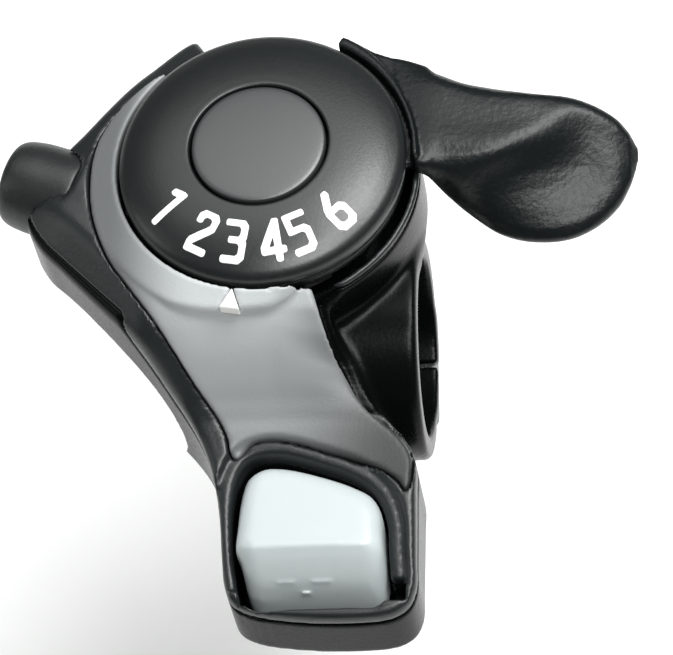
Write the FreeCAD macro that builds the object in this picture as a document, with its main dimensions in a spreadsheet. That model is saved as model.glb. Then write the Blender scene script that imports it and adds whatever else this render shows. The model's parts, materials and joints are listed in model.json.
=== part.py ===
import FreeCAD, Part
import math
import os
import Sketcher

# Right hand, six speed thumb shifter for a 22.2 mm handlebar.
# Frame: origin on the handlebar axis at the middle of the clamp ring.
# +X runs along the bar towards the grip, +Y points forward, +Z is up and is
# the direction of the lever and dial axis. Millimetres.

V = FreeCAD.Vector
doc = FreeCAD.newDocument("thumb_shifter")

# ---------------------------------------------------------------- dimensions
SIZES = [
    # handlebar clamp
    ("bar_radius", 11.1), ("ring_radius", 14.0), ("ring_width", 12.0),
    ("saddle_radius", 11.6), ("lug_width", 10.0), ("clamp_slot", 1.6),
    ("bolt_radius", 2.5), ("bolt_head_radius", 4.2), ("bolt_head_height", 4.0),
    ("bolt_offset", 17.4), ("bolt_length", 15.0), ("bolt_hex", 4.0),
    ("nut_across", 8.0), ("nut_height", 3.4),
    # lever and dial axis
    ("dial_x", -11.1), ("dial_y", 12.9), ("dial_radius", 17.4),
    ("dial_low", 23.6), ("dial_edge", 25.0), ("dial_shoulder", 25.8),
    ("dial_slope", 27.0), ("dial_crown", 27.9), ("dial_inner", 28.35),
    ("cap_radius", 8.1), ("cap_top", 28.9), ("groove_radius", 8.5),
    ("chamber_radius", 17.9), ("floor_z", 13.5),
    ("axle_radius", 4.0), ("axle_flange_radius", 6.5), ("axle_low", 11.95),
    ("axle_top", 21.4), ("axle_thread_radius", 2.0),
    ("bush_radius", 5.2), ("wheel_radius", 13.0), ("wheel_root", 11.8),
    ("wheel_low", 14.3), ("wheel_thick", 1.5),
    ("drum_low", 15.9), ("drum_high", 21.5), ("drum_radius", 11.4),
    ("cable_groove", 8.5), ("cable_z", 17.5), ("hub_low", 21.7),
    ("hub_high", 23.3), ("hub_radius", 17.2),
    # lever
    ("arc_inner", 17.75), ("arc_outer", 19.6), ("arc_top", 25.4),
    # housing
    ("seam_z", 20.0), ("shell_top", 23.5), ("underside_z", 10.5),
    ("tail_low", -4.5), ("tail_end", -39.5), ("tail_left", -17.2),
    ("tail_right", 6.4), ("skin", 1.6),
    # push button
    ("pocket_left", -15.9), ("pocket_right", 3.1), ("pocket_end", -38.0),
    ("button_left", -15.4), ("button_right", 2.6), ("hinge_y", -17.6),
    ("hinge_z", -1.0), ("hinge_pin", 1.0),
    # pawl and link
    ("pawl_x", -16.2), ("pawl_y", -3.0), ("pawl_pin_radius", 1.25),
    ("pawl_low", 14.3), ("pawl_thick", 1.3),
    ("link_x", -11.5), ("link_width", 3.4), ("link_thick", 1.0),
    # adjusting barrel
    ("barrel_x", -37.8), ("barrel_y", 13.8), ("barrel_z", 17.5),
    ("barrel_root", 5.7), ("barrel_tip", 4.8), ("barrel_head", 5.0),
    ("shank_radius", 3.0), ("shank_length", 7.5), ("socket_radius", 2.55),
    ("socket_depth", 5.0), ("seat_radius", 1.85), ("inner_bore", 1.1), ("boss_radius", 6.3),
]
sheet = doc.addObject("Spreadsheet::Sheet", "sizes")
D = {}
for row, (alias, value) in enumerate(SIZES, start=1):
    sheet.set("A%d" % row, alias)
    sheet.set("B%d" % row, "%.4f" % value)
    sheet.setAlias("B%d" % row, alias)
doc.recompute()
for alias, _ in SIZES:
    D[alias] = float(sheet.get(alias))

NODES = []


# ------------------------------------------------------------------- helpers
def value(text):
    """Number that an expression over the sheet's cells stands for."""
    total, sign = 0.0, 1.0
    for part in text.replace("-", " - ").replace("+", " + ").split():
        if part == "-":
            sign = -sign
        elif part == "+":
            continue
        else:
            term = 1.0
            for i, factor in enumerate(part.split("*")):
                term *= D[factor[6:]] if factor.startswith("sizes.") else float(factor)
            total += sign * term
            sign = 1.0
    return total


def plane(body, role):
    return [f for f in body.Origin.OriginFeatures if f.Role == role][0]


def new_body(name):
    body = doc.addObject("PartDesign::Body", name)
    body.Label = name
    NODES.append(body)
    return body


def new_sketch(body, name, role="XY_Plane", lift=None):
    sk = body.newObject("Sketcher::SketchObject", name)
    sk.AttachmentSupport = [(plane(body, role), "")]
    sk.MapMode = "FlatFace"
    if lift is not None:
        sk.AttachmentOffset = FreeCAD.Placement(V(0, 0, value(lift)), FreeCAD.Rotation())
        sk.setExpression(".AttachmentOffset.Base.z", lift)
    return sk


def draw_polygon(sk, points):
    """Closed outline whose corners are bound to expressions over the sheet."""
    vals = [(value(a), value(b)) for a, b in points]
    first = sk.GeometryCount
    n = len(vals)
    for i in range(n):
        a, c = vals[i], vals[(i + 1) % n]
        sk.addGeometry(Part.LineSegment(V(a[0], a[1], 0), V(c[0], c[1], 0)), False)
    for i in range(n):
        sk.addConstraint(Sketcher.Constraint("Coincident", first + i, 2, first + (i + 1) % n, 1))
    for i in range(n):
        for kind, k in (("DistanceX", 0), ("DistanceY", 1)):
            c = sk.addConstraint(Sketcher.Constraint(kind, -1, 1, first + i, 1, float(vals[i][k])))
            if "sizes" in points[i][k]:
                sk.setExpression("Constraints[%d]" % c, points[i][k])


def draw_circle(sk, x, y, radius):
    g = sk.addGeometry(Part.Circle(V(value(x), value(y), 0), V(0, 0, 1), value(radius)), False)
    for kind, text in (("DistanceX", x), ("DistanceY", y)):
        c = sk.addConstraint(Sketcher.Constraint(kind, -1, 1, g, 3, float(value(text))))
        if "sizes" in text:
            sk.setExpression("Constraints[%d]" % c, text)
    c = sk.addConstraint(Sketcher.Constraint("Radius", g, value(radius)))
    if "sizes" in radius:
        sk.setExpression("Constraints[%d]" % c, radius)


def revolve(body, sk, axis="V_Axis"):
    feat = body.newObject("PartDesign::Revolution", sk.Name + "_turned")
    feat.Profile = sk
    feat.ReferenceAxis = (sk, [axis])
    feat.Angle = 360
    doc.recompute()
    return feat


def pad(body, sk, length):
    feat = body.newObject("PartDesign::Pad", sk.Name + "_pad")
    feat.Profile = sk
    feat.Length = value(length)
    if "sizes" in length:
        feat.setExpression("Length", length)
    doc.recompute()
    return feat


def pocket(body, sk, length, reverse):
    before = body.Shape.Volume
    feat = body.newObject("PartDesign::Pocket", sk.Name + "_cut")
    feat.Profile = sk
    feat.Length = value(length)
    if "sizes" in length:
        feat.setExpression("Length", length)
    feat.Reversed = reverse
    doc.recompute()
    if not feat.Shape.Volume < before - 1e-6:
        raise RuntimeError("pocket %s cuts nothing" % sk.Name)
    return feat


def put(obj, x, y, z, axis=(0, 0, 1), angle=0.0):
    """Placement with its three offsets bound to the sheet."""
    obj.Placement = FreeCAD.Placement(V(value(x), value(y), value(z)),
                                      FreeCAD.Rotation(V(*axis), angle))
    for key, text in (("x", x), ("y", y), ("z", z)):
        if "sizes" in text:
            obj.setExpression(".Placement.Base.%s" % key, text)


def feature(name, shape):
    obj = doc.addObject("Part::Feature", name)
    obj.Label = name
    obj.Shape = shape
    obj.Placement = FreeCAD.Placement()
    NODES.append(obj)
    return obj


def prism(points, z0, z1):
    """Straight-sided solid over a plan outline."""
    wire = Part.makePolygon([V(x, y, z0) for x, y in points] + [V(points[0][0], points[0][1], z0)])
    return Part.Face(wire).extrude(V(0, 0, z1 - z0))


def slab(points, x0, x1):
    """Solid over an outline in the YZ plane, between two X positions."""
    wire = Part.makePolygon([V(x0, y, z) for y, z in points] + [V(x0, points[0][0], points[0][1])])
    return Part.Face(wire).extrude(V(x1 - x0, 0, 0))


def ring_sector(r0, r1, a0, a1, z0, z1):
    """Part of a ring about the lever axis, angles in degrees from +X."""
    centre = V(D["dial_x"], D["dial_y"], 0)
    n = 24
    pts = []
    arc = lambda r, a: centre + V(r * math.cos(math.radians(a)), r * math.sin(math.radians(a)), z0)
    mid = 0.5 * (a0 + a1)
    edges = [Part.Arc(arc(r1, a0), arc(r1, mid), arc(r1, a1)).toShape(),
             Part.makeLine(arc(r1, a1), arc(r0, a1)),
             Part.Arc(arc(r0, a1), arc(r0, mid), arc(r0, a0)).toShape(),
             Part.makeLine(arc(r0, a0), arc(r1, a0))]
    return Part.Face(Part.Wire(edges)).extrude(V(0, 0, z1 - z0))


def post(x, y, r, z0, z1):
    return Part.makeCylinder(r, z1 - z0, V(x, y, z0), V(0, 0, 1))


def loft(sections):
    """Smooth solid through closed curves, each given by its points in order."""
    wires = []
    for pts in sections:
        curve = Part.BSplineCurve()
        curve.interpolate(Points=[V(*p) for p in pts], PeriodicFlag=True)
        wires.append(Part.Wire([curve.toShape()]))
    return Part.makeLoft(wires, True, False)


def only_solid(shape):
    """The largest solid of a boolean result."""
    return max(shape.Solids, key=lambda s: s.Volume)


dx, dy = D["dial_x"], D["dial_y"]

# ------------------------------------------------------- housing: outer form
# Plan of both housing halves: a long straight flank on the left, the tail that
# holds the push button, and a round well about the lever axis.
flank = [(-39.6, 15.2), (-40.7, 10.5), (-40.6, 7.4), (-36.4, 2.2), (-30.4, -4.0),
         (-24.6, -10.4), (-20.6, -15.6), (-18.4, -20.4), (-17.4, -26.0)]
tail = [(D["tail_left"], -33.5), (-16.4, -36.2), (-14.2, -37.9), (-10.0, -38.9), (-4.5, -39.5),
        (1.0, D["tail_end"]), (4.6, -38.7), (D["tail_right"] - 0.4, -36.8), (D["tail_right"], -34.5)]
right = [(D["tail_right"], -19.2), (3.6, -15.4), (0.6, -12.0), (-1.6, -8.2), (-3.6, -4.2)]
outer_right = 18.7
well_arc = [(dx + outer_right * math.cos(math.radians(a)), dy + outer_right * math.sin(math.radians(a)))
            for a in range(-66, 116, 7)]
wall_r = 22.0
left_arc = [(dx + wall_r * math.cos(math.radians(a)), dy + wall_r * math.sin(math.radians(a)))
            for a in range(116, 160, 6)] + [(-32.6, 18.2), (-36.2, 16.9)]
plan = flank + tail + right + well_arc + left_arc
outer = prism(plan, D["tail_low"], 26.0)

top_line = [(-6.2, 22.6), (-8.4, 20.2), (-10.8, 16.6), (-13.2, 13.2), (-16.0, 10.6),
            (-19.0, 9.4), (-28.0, 7.8), (-40.5, 5.2)]
top_cut = [(40.0, 40.0), (40.0, D["shell_top"]), (-3.6, D["shell_top"])] + top_line + [(-45.0, 5.2), (-45.0, 40.0)]
under_cut = [(40.0, D["underside_z"]), (4.0, D["underside_z"]), (4.0, 0.0), (-8.0, -8.6), (-14.4, -8.6),
             (-14.4, -20.0), (40.0, -20.0)]
seam_line = [(40.0, D["seam_z"]), (-5.5, D["seam_z"]), (-9.5, 14.4), (-12.5, 10.2), (-15.0, 7.9), (-20.0, 5.8),
             (-45.0, 2.6)]

body_form = outer.cut(slab(top_cut, -60, 60)).cut(slab(under_cut, -60, 60))
body_form = body_form.cut(Part.makeCylinder(D["saddle_radius"], 120, V(-60, 0, 0), V(1, 0, 0)))
# Sloping shelf between the upper seam and the flank.
cutter = Part.makeBox(80, 160, 30, V(-40, -80, 0))
cutter.Placement = FreeCAD.Placement(V(-33.2, 0.4, D["seam_z"] + 0.2),
                                     FreeCAD.Rotation(V(0, 0, 1), V(-0.5, -0.5, 0.7071)))
tail_keep = Part.makeBox(80, 60, 60, V(-40, -78, -20))
body_form = only_solid(body_form.cut(cutter.cut(tail_keep)))
# The neck falls away on its right, under the path of the lever.
fall_y = [-3.6, -6.5, -8.4, -9.3, -9.9, -11.5, -13.2, -14.6, -16.0, -19.0]
fall_lines = [
    [(-9.0, 23.5), (-9.0, 22.36), (-9.0, 20.2), (-9.0, 18.85), (-9.0, 17.95), (-9.0, 15.6), (-9.0, 13.2),
     (-9.0, 11.9), (-9.0, 10.6), (-9.0, 9.4)],
    [(-5.0, 23.4), (-4.1, 21.6), (-3.5, 18.6), (-3.1, 14.8), (-2.6, 13.0), (-1.7, 12.1), (-0.6, 11.5),
     (0.5, 10.9), (1.8, 10.1), (5.0, 9.3)],
    [(-4.1, 19.0), (-3.2, 14.2), (-2.6, 11.8), (-2.2, 11.2), (-1.7, 10.8), (-0.8, 10.0), (0.3, 9.4),
     (1.4, 9.2), (2.7, 9.0), (5.9, 8.8)],
    [(25.0, 19.0), (25.0, 14.2), (25.0, 11.8), (25.0, 11.2), (25.0, 10.8), (25.0, 10.0), (25.0, 9.4),
     (25.0, 9.2), (25.0, 9.0), (25.0, 8.8)]]
rings = []
for line in fall_lines:
    corners = [V(x, y, z) for y, (x, z) in zip(fall_y, line)] + [V(line[-1][0], -19.0, 26.0), V(line[0][0], -3.6, 26.0)]
    rings.append(Part.makePolygon(corners + [corners[0]]))
body_form = only_solid(body_form.cut(Part.makeLoft(rings, True, True)))
body_form = only_solid(body_form.cut(ring_sector(5.0, 40.0, -71.0, 115.0, 21.3, 30.0)))
# Collar rising towards the dial, round its left and lower side.
collar = Part.makeCone(21.2, 17.7, 1.5, V(dx, dy, D["shell_top"]), V(0, 0, 1)).fuse(post(dx, dy, 21.2, 18.0, D["shell_top"]))
collar = collar.common(ring_sector(16.0, 30.0, 151.0, 285.0, 18.0, 30.0))
body_form = only_solid(body_form.fuse(collar))

# ------------------------------------------------------- housing: hollows
chamber = post(dx, dy, D["chamber_radius"], D["floor_z"], 30.0)
chamber_low = post(dx, dy, 17.2, D["floor_z"], D["seam_z"])
neck = slab([(3.0, D["floor_z"]), (-4.0, D["floor_z"]), (-8.8, 10.6), (-11.8, 7.0), (-13.6, 3.0), (-14.6, -2.6),
             (-21.0, -2.6), (-21.0, 7.4), (-17.0, 8.5), (-13.6, 10.3), (-9.8, 15.0), (-7.2, 19.2), (-5.0, 20.4),
             (3.0, 20.4)], -14.6, -8.2)
pawl_room = Part.makeBox(13.4, 9.2, 6.9, V(-19.4, -6.4, D["floor_z"]))
pocket_plan = [(D["pocket_left"], -28.6), (-15.5, -33.0), (-14.6, -37.0), (-13.2, D["pocket_end"]),
               (1.8, D["pocket_end"]), (D["pocket_right"], -36.6), (D["pocket_right"] - 0.2, -28.0),
               (2.0, -25.0), (-0.6, -22.6), (-4.4, -20.8), (-10.6, -19.0), (-13.9, -19.6), (-15.2, -21.8),
               (-15.8, -25.0)]
button_well = prism(pocket_plan, -2.6, 30.0)
hinge_slot = Part.makeBox(16.8, 9.6, 5.4, V(-14.8, -24.0, -3.8))
barrel_dir = V(-0.937, 0.349, 0).normalize()
barrel_root_pt = V(D["barrel_x"], D["barrel_y"], D["barrel_z"])
boss_seat = Part.makeCylinder(D["boss_radius"] + 0.02, 14.0, barrel_root_pt + barrel_dir * 4.0, barrel_dir * -1)
head_room = Part.makeCylinder(6.1, 8.0, barrel_root_pt + barrel_dir * 1.2, barrel_dir)
cable_way = Part.makeCylinder(1.6, 22.0, barrel_root_pt - barrel_dir * 7.0, barrel_dir * -1)
axle_hole = post(dx, dy, D["axle_radius"] + 0.05, 5.0, 14.0)
axle_seat = post(dx, dy, D["axle_flange_radius"] + 0.1, D["axle_low"] - 0.05, 14.0)

# the axle is screwed up from below, clear of the bar
hollows = [chamber, neck, pawl_room, button_well]

above = slab([(60.0, 60.0), (60.0, D["seam_z"])] + seam_line[1:] + [(-60.0, 2.6), (-60.0, 60.0)], -80, 80)

# ------------------------------------------------------- fasteners' places
screw_xy = [(-27.0, -0.6), (dx + 20.0 * math.cos(math.radians(138)), dy + 20.0 * math.sin(math.radians(138)))]
screw_low = 12.6

# --------------------------------------------------------------- bracket
low = body_form.cut(above)
ring = Part.makeCylinder(D["ring_radius"], D["ring_width"], V(-D["ring_width"] / 2, 0, 0), V(1, 0, 0))
lug = Part.makeBox(D["lug_width"], 13.4, 10.4, V(-D["lug_width"] / 2, -6.7, -20.9))
lug = lug.makeFillet(2.0, [e for e in lug.Edges if abs(e.BoundBox.ZMax + 20.9) < 0.01 and e.BoundBox.XLength > 1])
lug.rotate(V(0, 0, 0), V(1, 0, 0), 18.0)
low = low.fuse([ring, lug])
low = low.cut(hollows + [axle_hole, axle_seat])
low = low.cut(chamber_low)
low = low.cut(Part.makeCylinder(D["bar_radius"], 60, V(-30, 0, 0), V(1, 0, 0)))
slot = Part.makeBox(D["ring_width"] + 2, D["clamp_slot"], 14.0, V(-D["ring_width"] / 2 - 1, -D["clamp_slot"] / 2, -23.0))
bolt_hole = Part.makeCylinder(D["bolt_radius"] + 0.2, 30.0, V(0, -15, -D["bolt_offset"]), V(0, 1, 0))
head_hole = Part.makeCylinder(D["bolt_head_radius"] + 0.25, 14.0, V(0, -5.2, -D["bolt_offset"]), V(0, -1, 0))
nut_hole = Part.makeBox(D["nut_across"] + 0.3, 12.0, D["nut_across"] + 0.3,
                        V(-(D["nut_across"] + 0.3) / 2, 3.6, -D["bolt_offset"] - (D["nut_across"] + 0.3) / 2))
for piece in (slot, bolt_hole, head_hole, nut_hole):
    piece.rotate(V(0, 0, 0), V(1, 0, 0), 18.0)
low = low.cut([slot, bolt_hole, head_hole, nut_hole])
low = low.cut([boss_seat, head_room])
# hinge pin bore across the tail, open at the left wall for assembly
pin_bore = Part.makeCylinder(D["hinge_pin"], 26.0, V(D["tail_left"] - 2, D["hinge_y"], D["hinge_z"]), V(1, 0, 0))
pin_bore = pin_bore.cut(Part.makeBox(10, 10, 10, V(4.6, D["hinge_y"] - 5, D["hinge_z"] - 5)))
low = low.cut([hinge_slot, pin_bore])
low = low.cut(post(D["pawl_x"], D["pawl_y"], D["pawl_pin_radius"], 12.0, 20.0))
for x, y in screw_xy:
    low = low.cut(post(x, y, 1.15, 5.0, 25.0))
    low = low.cut(post(x, y, 1.8, 5.0, screw_low + 1.6))
bracket = feature("bracket", only_solid(low))

# ---------------------------------------------------------- indicator cover
# Gray moulding: a part ring about the dial that runs on down the neck.
cover_r = 21.3
ring_out = [(dx + cover_r * math.cos(math.radians(a)), dy + cover_r * math.sin(math.radians(a)))
            for a in range(150, 212, 6)]
cover_plan = ring_out + [(-28.9, -0.3), (-25.1, -5.6), (-20.4, -11.6), (-17.4, -15.6), (-15.9, -17.8),
                         (-12.6, -18.2), (-8.9, -18.6), (-4.0, -20.3), (0.9, -22.6), (4.0, -25.2), (4.6, -24.0),
                         (4.4, -20.0), (2.6, -16.4), (0.0, -12.0), (-2.2, -8.2), (-3.9, -4.6), (-5.6, -2.4),
                         (dx + 17.9 * math.cos(math.radians(-70)), dy + 17.9 * math.sin(math.radians(-70)))]
inner_arc = [(dx + 17.0 * math.cos(math.radians(a)), dy + 17.0 * math.sin(math.radians(a)))
             for a in range(-72, -211, -6)]
cover_cut = prism(cover_plan + inner_arc, -10.0, 30.0)
under_skin = body_form.copy()
under_skin.translate(V(0, 0, -D["skin"]))
high = body_form.common(above)
cover = high.common(cover_cut).cut(under_skin).cut([chamber, button_well])
cover = only_solid(cover)
cover_taken = cover.copy()
# index pointer's seat beside the dial
ang = math.radians(-99.6)
tip = V(dx + 18.0 * math.cos(ang), dy + 18.0 * math.sin(ang), 0)
along = V(math.cos(ang), math.sin(ang), 0)
side = V(-along.y, along.x, 0)
tri = [tip, tip + along * 2.5 + side * 1.35, tip + along * 2.5 - side * 1.35]
tri_seat = prism([(p.x, p.y) for p in tri], D["shell_top"] - 1.0, 30.0)
cover = only_solid(cover.cut(tri_seat))
indicator_cover = feature("indicator_cover", cover)

# ---------------------------------------------------------- upper housing
boss = Part.makeCylinder(D["boss_radius"], 11.0, barrel_root_pt + barrel_dir * 1.2, barrel_dir * -1)
high = high.fuse(boss.cut(slab([(60, D["shell_top"]), (-60, D["shell_top"]), (-60, 60), (60, 60)], -80, 80)))
high = high.cut([chamber, chamber_low, neck, pawl_room, button_well, cable_way])
high = high.cut(cover_taken)
high = high.cut(Part.makeCylinder(D["shank_radius"] + 0.05, 12.0, barrel_root_pt + barrel_dir * 3, barrel_dir * -1))
high = high.cut([hinge_slot, head_room])
high = high.cut(post(D["pawl_x"], D["pawl_y"], D["pawl_pin_radius"], 12.0, 21.0))
for x, y in screw_xy:
    high = high.cut(post(x, y, 1.15, 5.0, 21.1))
high = high.cut(tri_seat)
upper_housing = feature("upper_housing", only_solid(high))

# ---------------------------------------------------------- index pointer
pointer = new_body("index_pointer")
sk = new_sketch(pointer, "pointer_plan", lift="sizes.shell_top-1.0")
inset = [tip + along * 0.12, tip + along * 2.46 + side * 1.26, tip + along * 2.46 - side * 1.26]
draw_polygon(sk, [("%.4f" % p.x, "%.4f" % p.y) for p in inset])
pad(pointer, sk, "2.4")

# ---------------------------------------------------------- clamp bolt, nut
def on_bolt_axis(obj, offset):
    a = math.radians(18.0)
    base = V(0, offset, -D["bolt_offset"])
    rot18 = FreeCAD.Rotation(V(1, 0, 0), 18.0)
    # the piece's own +Z lies along the bolt, from the head to the nut
    obj.Placement = FreeCAD.Placement(rot18.multVec(base), rot18.multiply(FreeCAD.Rotation(V(1, 0, 0), -90)))


clamp_bolt = new_body("clamp_bolt")
sk = new_sketch(clamp_bolt, "bolt_profile", "XZ_Plane")
draw_polygon(sk, [("0", "0"), ("sizes.bolt_head_radius-0.4", "0"), ("sizes.bolt_head_radius", "0.4"),
                  ("sizes.bolt_head_radius", "sizes.bolt_head_height"),
                  ("sizes.bolt_radius", "sizes.bolt_head_height"),
                  ("sizes.bolt_radius", "sizes.bolt_head_height+sizes.bolt_length-0.6"),
                  ("sizes.bolt_radius-0.6", "sizes.bolt_head_height+sizes.bolt_length"),
                  ("0", "sizes.bolt_head_height+sizes.bolt_length")])
revolve(clamp_bolt, sk)
sk = new_sketch(clamp_bolt, "bolt_hexagon")
hexr = D["bolt_hex"] / 2 / math.cos(math.radians(30))
draw_polygon(sk, [("%.4f" % (hexr * math.cos(math.radians(60 * k))), "%.4f" % (hexr * math.sin(math.radians(60 * k))))
                  for k in range(6)])
pocket(clamp_bolt, sk, "2.6", True)
on_bolt_axis(clamp_bolt, -5.2 - D["bolt_head_height"])

clamp_nut = new_body("clamp_nut")
sk = new_sketch(clamp_nut, "nut_plan")
half = "0.5*sizes.nut_across"
draw_polygon(sk, [(half, half), ("-" + half, half), ("-" + half, "-" + half), (half, "-" + half)])
draw_circle(sk, "0", "0", "sizes.bolt_radius+0.02")
pad(clamp_nut, sk, "sizes.nut_height")
on_bolt_axis(clamp_nut, 3.62)

# ---------------------------------------------------------- housing screws
screws = []
for x, y in screw_xy:
    s1 = post(x, y, 1.75, screw_low, screw_low + 1.58)
    s1 = s1.fuse(post(x, y, 1.1, screw_low + 1.5, 21.0))
    s1 = s1.cut(prism([(x - 1.2, y - 0.3), (x + 1.2, y - 0.3), (x + 1.2, y + 0.3), (x - 1.2, y + 0.3)],
                      screw_low - 1, screw_low + 0.9))
    s1 = s1.cut(prism([(x - 0.3, y - 1.2), (x + 0.3, y - 1.2), (x + 0.3, y + 1.2), (x - 0.3, y + 1.2)],
                      screw_low - 1, screw_low + 0.9))
    screws.append(s1.removeSplitter())
housing_screws = feature("housing_screws", Part.makeCompound(screws))

# ---------------------------------------------------------- pivot axle
pivot_axle = new_body("pivot_axle")
sk = new_sketch(pivot_axle, "axle_profile", "XZ_Plane")
draw_polygon(sk, [("sizes.axle_thread_radius", "sizes.axle_low"), ("sizes.axle_flange_radius", "sizes.axle_low"),
                  ("sizes.axle_flange_radius", "sizes.floor_z"), ("sizes.axle_radius", "sizes.floor_z"),
                  ("sizes.axle_radius", "sizes.axle_top"), ("sizes.axle_thread_radius", "sizes.axle_top")])
revolve(pivot_axle, sk)
put(pivot_axle, "sizes.dial_x", "sizes.dial_y", "0")

thrust_washer = new_body("thrust_washer")
sk = new_sketch(thrust_washer, "thrust_plan", lift="sizes.floor_z+0.02")
draw_circle(sk, "0", "0", "9.5")
draw_circle(sk, "0", "0", "sizes.bush_radius+0.15")
pad(thrust_washer, sk, "0.7")
put(thrust_washer, "sizes.dial_x", "sizes.dial_y", "0")

# ---------------------------------------------------------- turning stack
drum_bush = new_body("drum_bush")
sk = new_sketch(drum_bush, "bush_profile", "XZ_Plane")
draw_polygon(sk, [("sizes.axle_radius+0.05", "sizes.wheel_low"), ("sizes.bush_radius", "sizes.wheel_low"),
                  ("sizes.bush_radius", "sizes.drum_high"), ("sizes.axle_radius+0.05", "sizes.drum_high")])
revolve(drum_bush, sk)
put(drum_bush, "sizes.dial_x", "sizes.dial_y", "0")

# Index wheel: a notch for each gear, uneven as the sprockets' spacing is.
NOTCHES = [-75.0 + a for a in (-46.5, -17.5, 0.0, 24.5, 40.5, 64.5)]
wheel_pts = []
a = -75.0 - 62.0
while a < -75.0 + 80.0 + 0.01:
    depth = 0.0
    for notch in NOTCHES:
        gap = abs(a - notch)
        if gap < 4.0:
            depth = max(depth, 1.0 - (gap / 4.0) ** 2)
    r = D["wheel_radius"] - (D["wheel_radius"] - D["wheel_root"]) * depth
    wheel_pts.append((r, a))
    a += 1.0
wheel_pts += [(D["wheel_root"] - 0.6, float(a2)) for a2 in range(8, 220, 6)]
ratchet_wheel = new_body("ratchet_wheel")
sk = new_sketch(ratchet_wheel, "wheel_plan", lift="sizes.wheel_low")
corners = [(r * math.cos(math.radians(q)), r * math.sin(math.radians(q))) for r, q in wheel_pts]
n0 = len(corners)
for i in range(n0):
    p, q = corners[i], corners[(i + 1) % n0]
    sk.addGeometry(Part.LineSegment(V(p[0], p[1], 0), V(q[0], q[1], 0)), False)
for i in range(n0):
    sk.addConstraint(Sketcher.Constraint("Coincident", i, 2, (i + 1) % n0, 1))
for i in range(n0):
    sk.addConstraint(Sketcher.Constraint("Block", i))
draw_circle(sk, "0", "0", "sizes.bush_radius")
pad(ratchet_wheel, sk, "sizes.wheel_thick")
put(ratchet_wheel, "sizes.dial_x", "sizes.dial_y", "0")

cable_drum = new_body("cable_drum")
sk = new_sketch(cable_drum, "drum_profile", "XZ_Plane")
draw_polygon(sk, [("sizes.bush_radius", "sizes.drum_low"), ("sizes.drum_radius-0.9", "sizes.drum_low"),
                  ("sizes.drum_radius-0.9", "sizes.cable_z-1.0"), ("sizes.cable_groove", "sizes.cable_z-0.6"),
                  ("sizes.cable_groove", "sizes.cable_z+0.6"), ("sizes.drum_radius-0.9", "sizes.cable_z+1.0"),
                  ("sizes.drum_radius", "sizes.cable_z+1.6"), ("sizes.drum_radius", "sizes.drum_high"),
                  ("sizes.bush_radius", "sizes.drum_high")])
revolve(cable_drum, sk)
# socket for the cable's end nipple
sk = new_sketch(cable_drum, "nipple_plan", lift="sizes.drum_low")
draw_circle(sk, "0", "sizes.cable_groove", "1.7")
pocket(cable_drum, sk, "3.6", True)
put(cable_drum, "sizes.dial_x", "sizes.dial_y", "0", angle=50.0)

lever_insert = new_body("lever_insert")
sk = new_sketch(lever_insert, "insert_plan", lift="sizes.drum_high")
draw_circle(sk, "0", "0", "12.0")
draw_circle(sk, "0", "0", "sizes.axle_thread_radius+0.6")
pad(lever_insert, sk, "0.9")
put(lever_insert, "sizes.dial_x", "sizes.dial_y", "0")

lever_screw = new_body("lever_screw")
sk = new_sketch(lever_screw, "screw_profile", "XZ_Plane")
draw_polygon(sk, [("0", "13.4"), ("sizes.axle_thread_radius-0.02", "13.4"),
                  ("sizes.axle_thread_radius-0.02", "sizes.drum_high+0.95"),
                  ("5.0", "sizes.drum_high+0.95"), ("5.0", "sizes.drum_high+2.4"),
                  ("4.4", "sizes.drum_high+3.0"), ("0", "sizes.drum_high+3.0")])
revolve(lever_screw, sk)
sk = new_sketch(lever_screw, "screw_slot", lift="sizes.drum_high+3.0")
draw_polygon(sk, [("-3.6", "-0.5"), ("3.6", "-0.5"), ("3.6", "0.5"), ("-3.6", "0.5")])
pocket(lever_screw, sk, "1.1", False)
put(lever_screw, "sizes.dial_x", "sizes.dial_y", "0")

indicator_dial = new_body("indicator_dial")
sk = new_sketch(indicator_dial, "dial_profile", "XZ_Plane")
draw_polygon(sk, [("6.2", "sizes.dial_low"), ("sizes.dial_radius-0.3", "sizes.dial_low"),
                  ("sizes.dial_radius", "sizes.dial_low+0.3"), ("sizes.dial_radius", "sizes.dial_edge"),
                  ("sizes.dial_radius-0.6", "sizes.dial_shoulder"), ("15.0", "sizes.dial_slope"),
                  ("12.0", "sizes.dial_crown"), ("sizes.groove_radius", "sizes.dial_inner"),
                  ("sizes.groove_radius", "26.4"), ("6.2", "26.4")])
revolve(indicator_dial, sk)
put(indicator_dial, "sizes.dial_x", "sizes.dial_y", "0")

centre_cap = new_body("centre_cap")
sk = new_sketch(centre_cap, "cap_profile", "XZ_Plane")
draw_polygon(sk, [("0", "26.4"), ("5.0", "26.4"), ("5.0", "25.2"), ("6.18", "25.2"), ("6.18", "26.42"),
                  ("sizes.cap_radius", "26.42"), ("sizes.cap_radius", "28.3"), ("sizes.cap_radius-0.4", "28.55"),
                  ("4.0", "28.8"), ("0", "sizes.cap_top")])
revolve(centre_cap, sk)
put(centre_cap, "sizes.dial_x", "sizes.dial_y", "0")

# ---------------------------------------------------------- lever
# Hub disc under the dial, a raised arc beside it, and a thumb paddle that
# reaches out to the right and dips towards the rider.
hub = post(dx, dy, D["hub_radius"], D["hub_low"], D["hub_high"])
hub = hub.cut(post(dx, dy, 12.1, D["hub_low"] - 1, D["hub_low"] + 0.72)).cut(post(dx, dy, 5.3, 20, 30))
arc_part = ring_sector(16.4, D["arc_outer"], -4.0, 60.0, D["hub_low"], D["hub_high"])
arc_rim = ring_sector(D["arc_inner"], D["arc_outer"], -2.0, 60.0, D["hub_low"], D["arc_top"])
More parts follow.
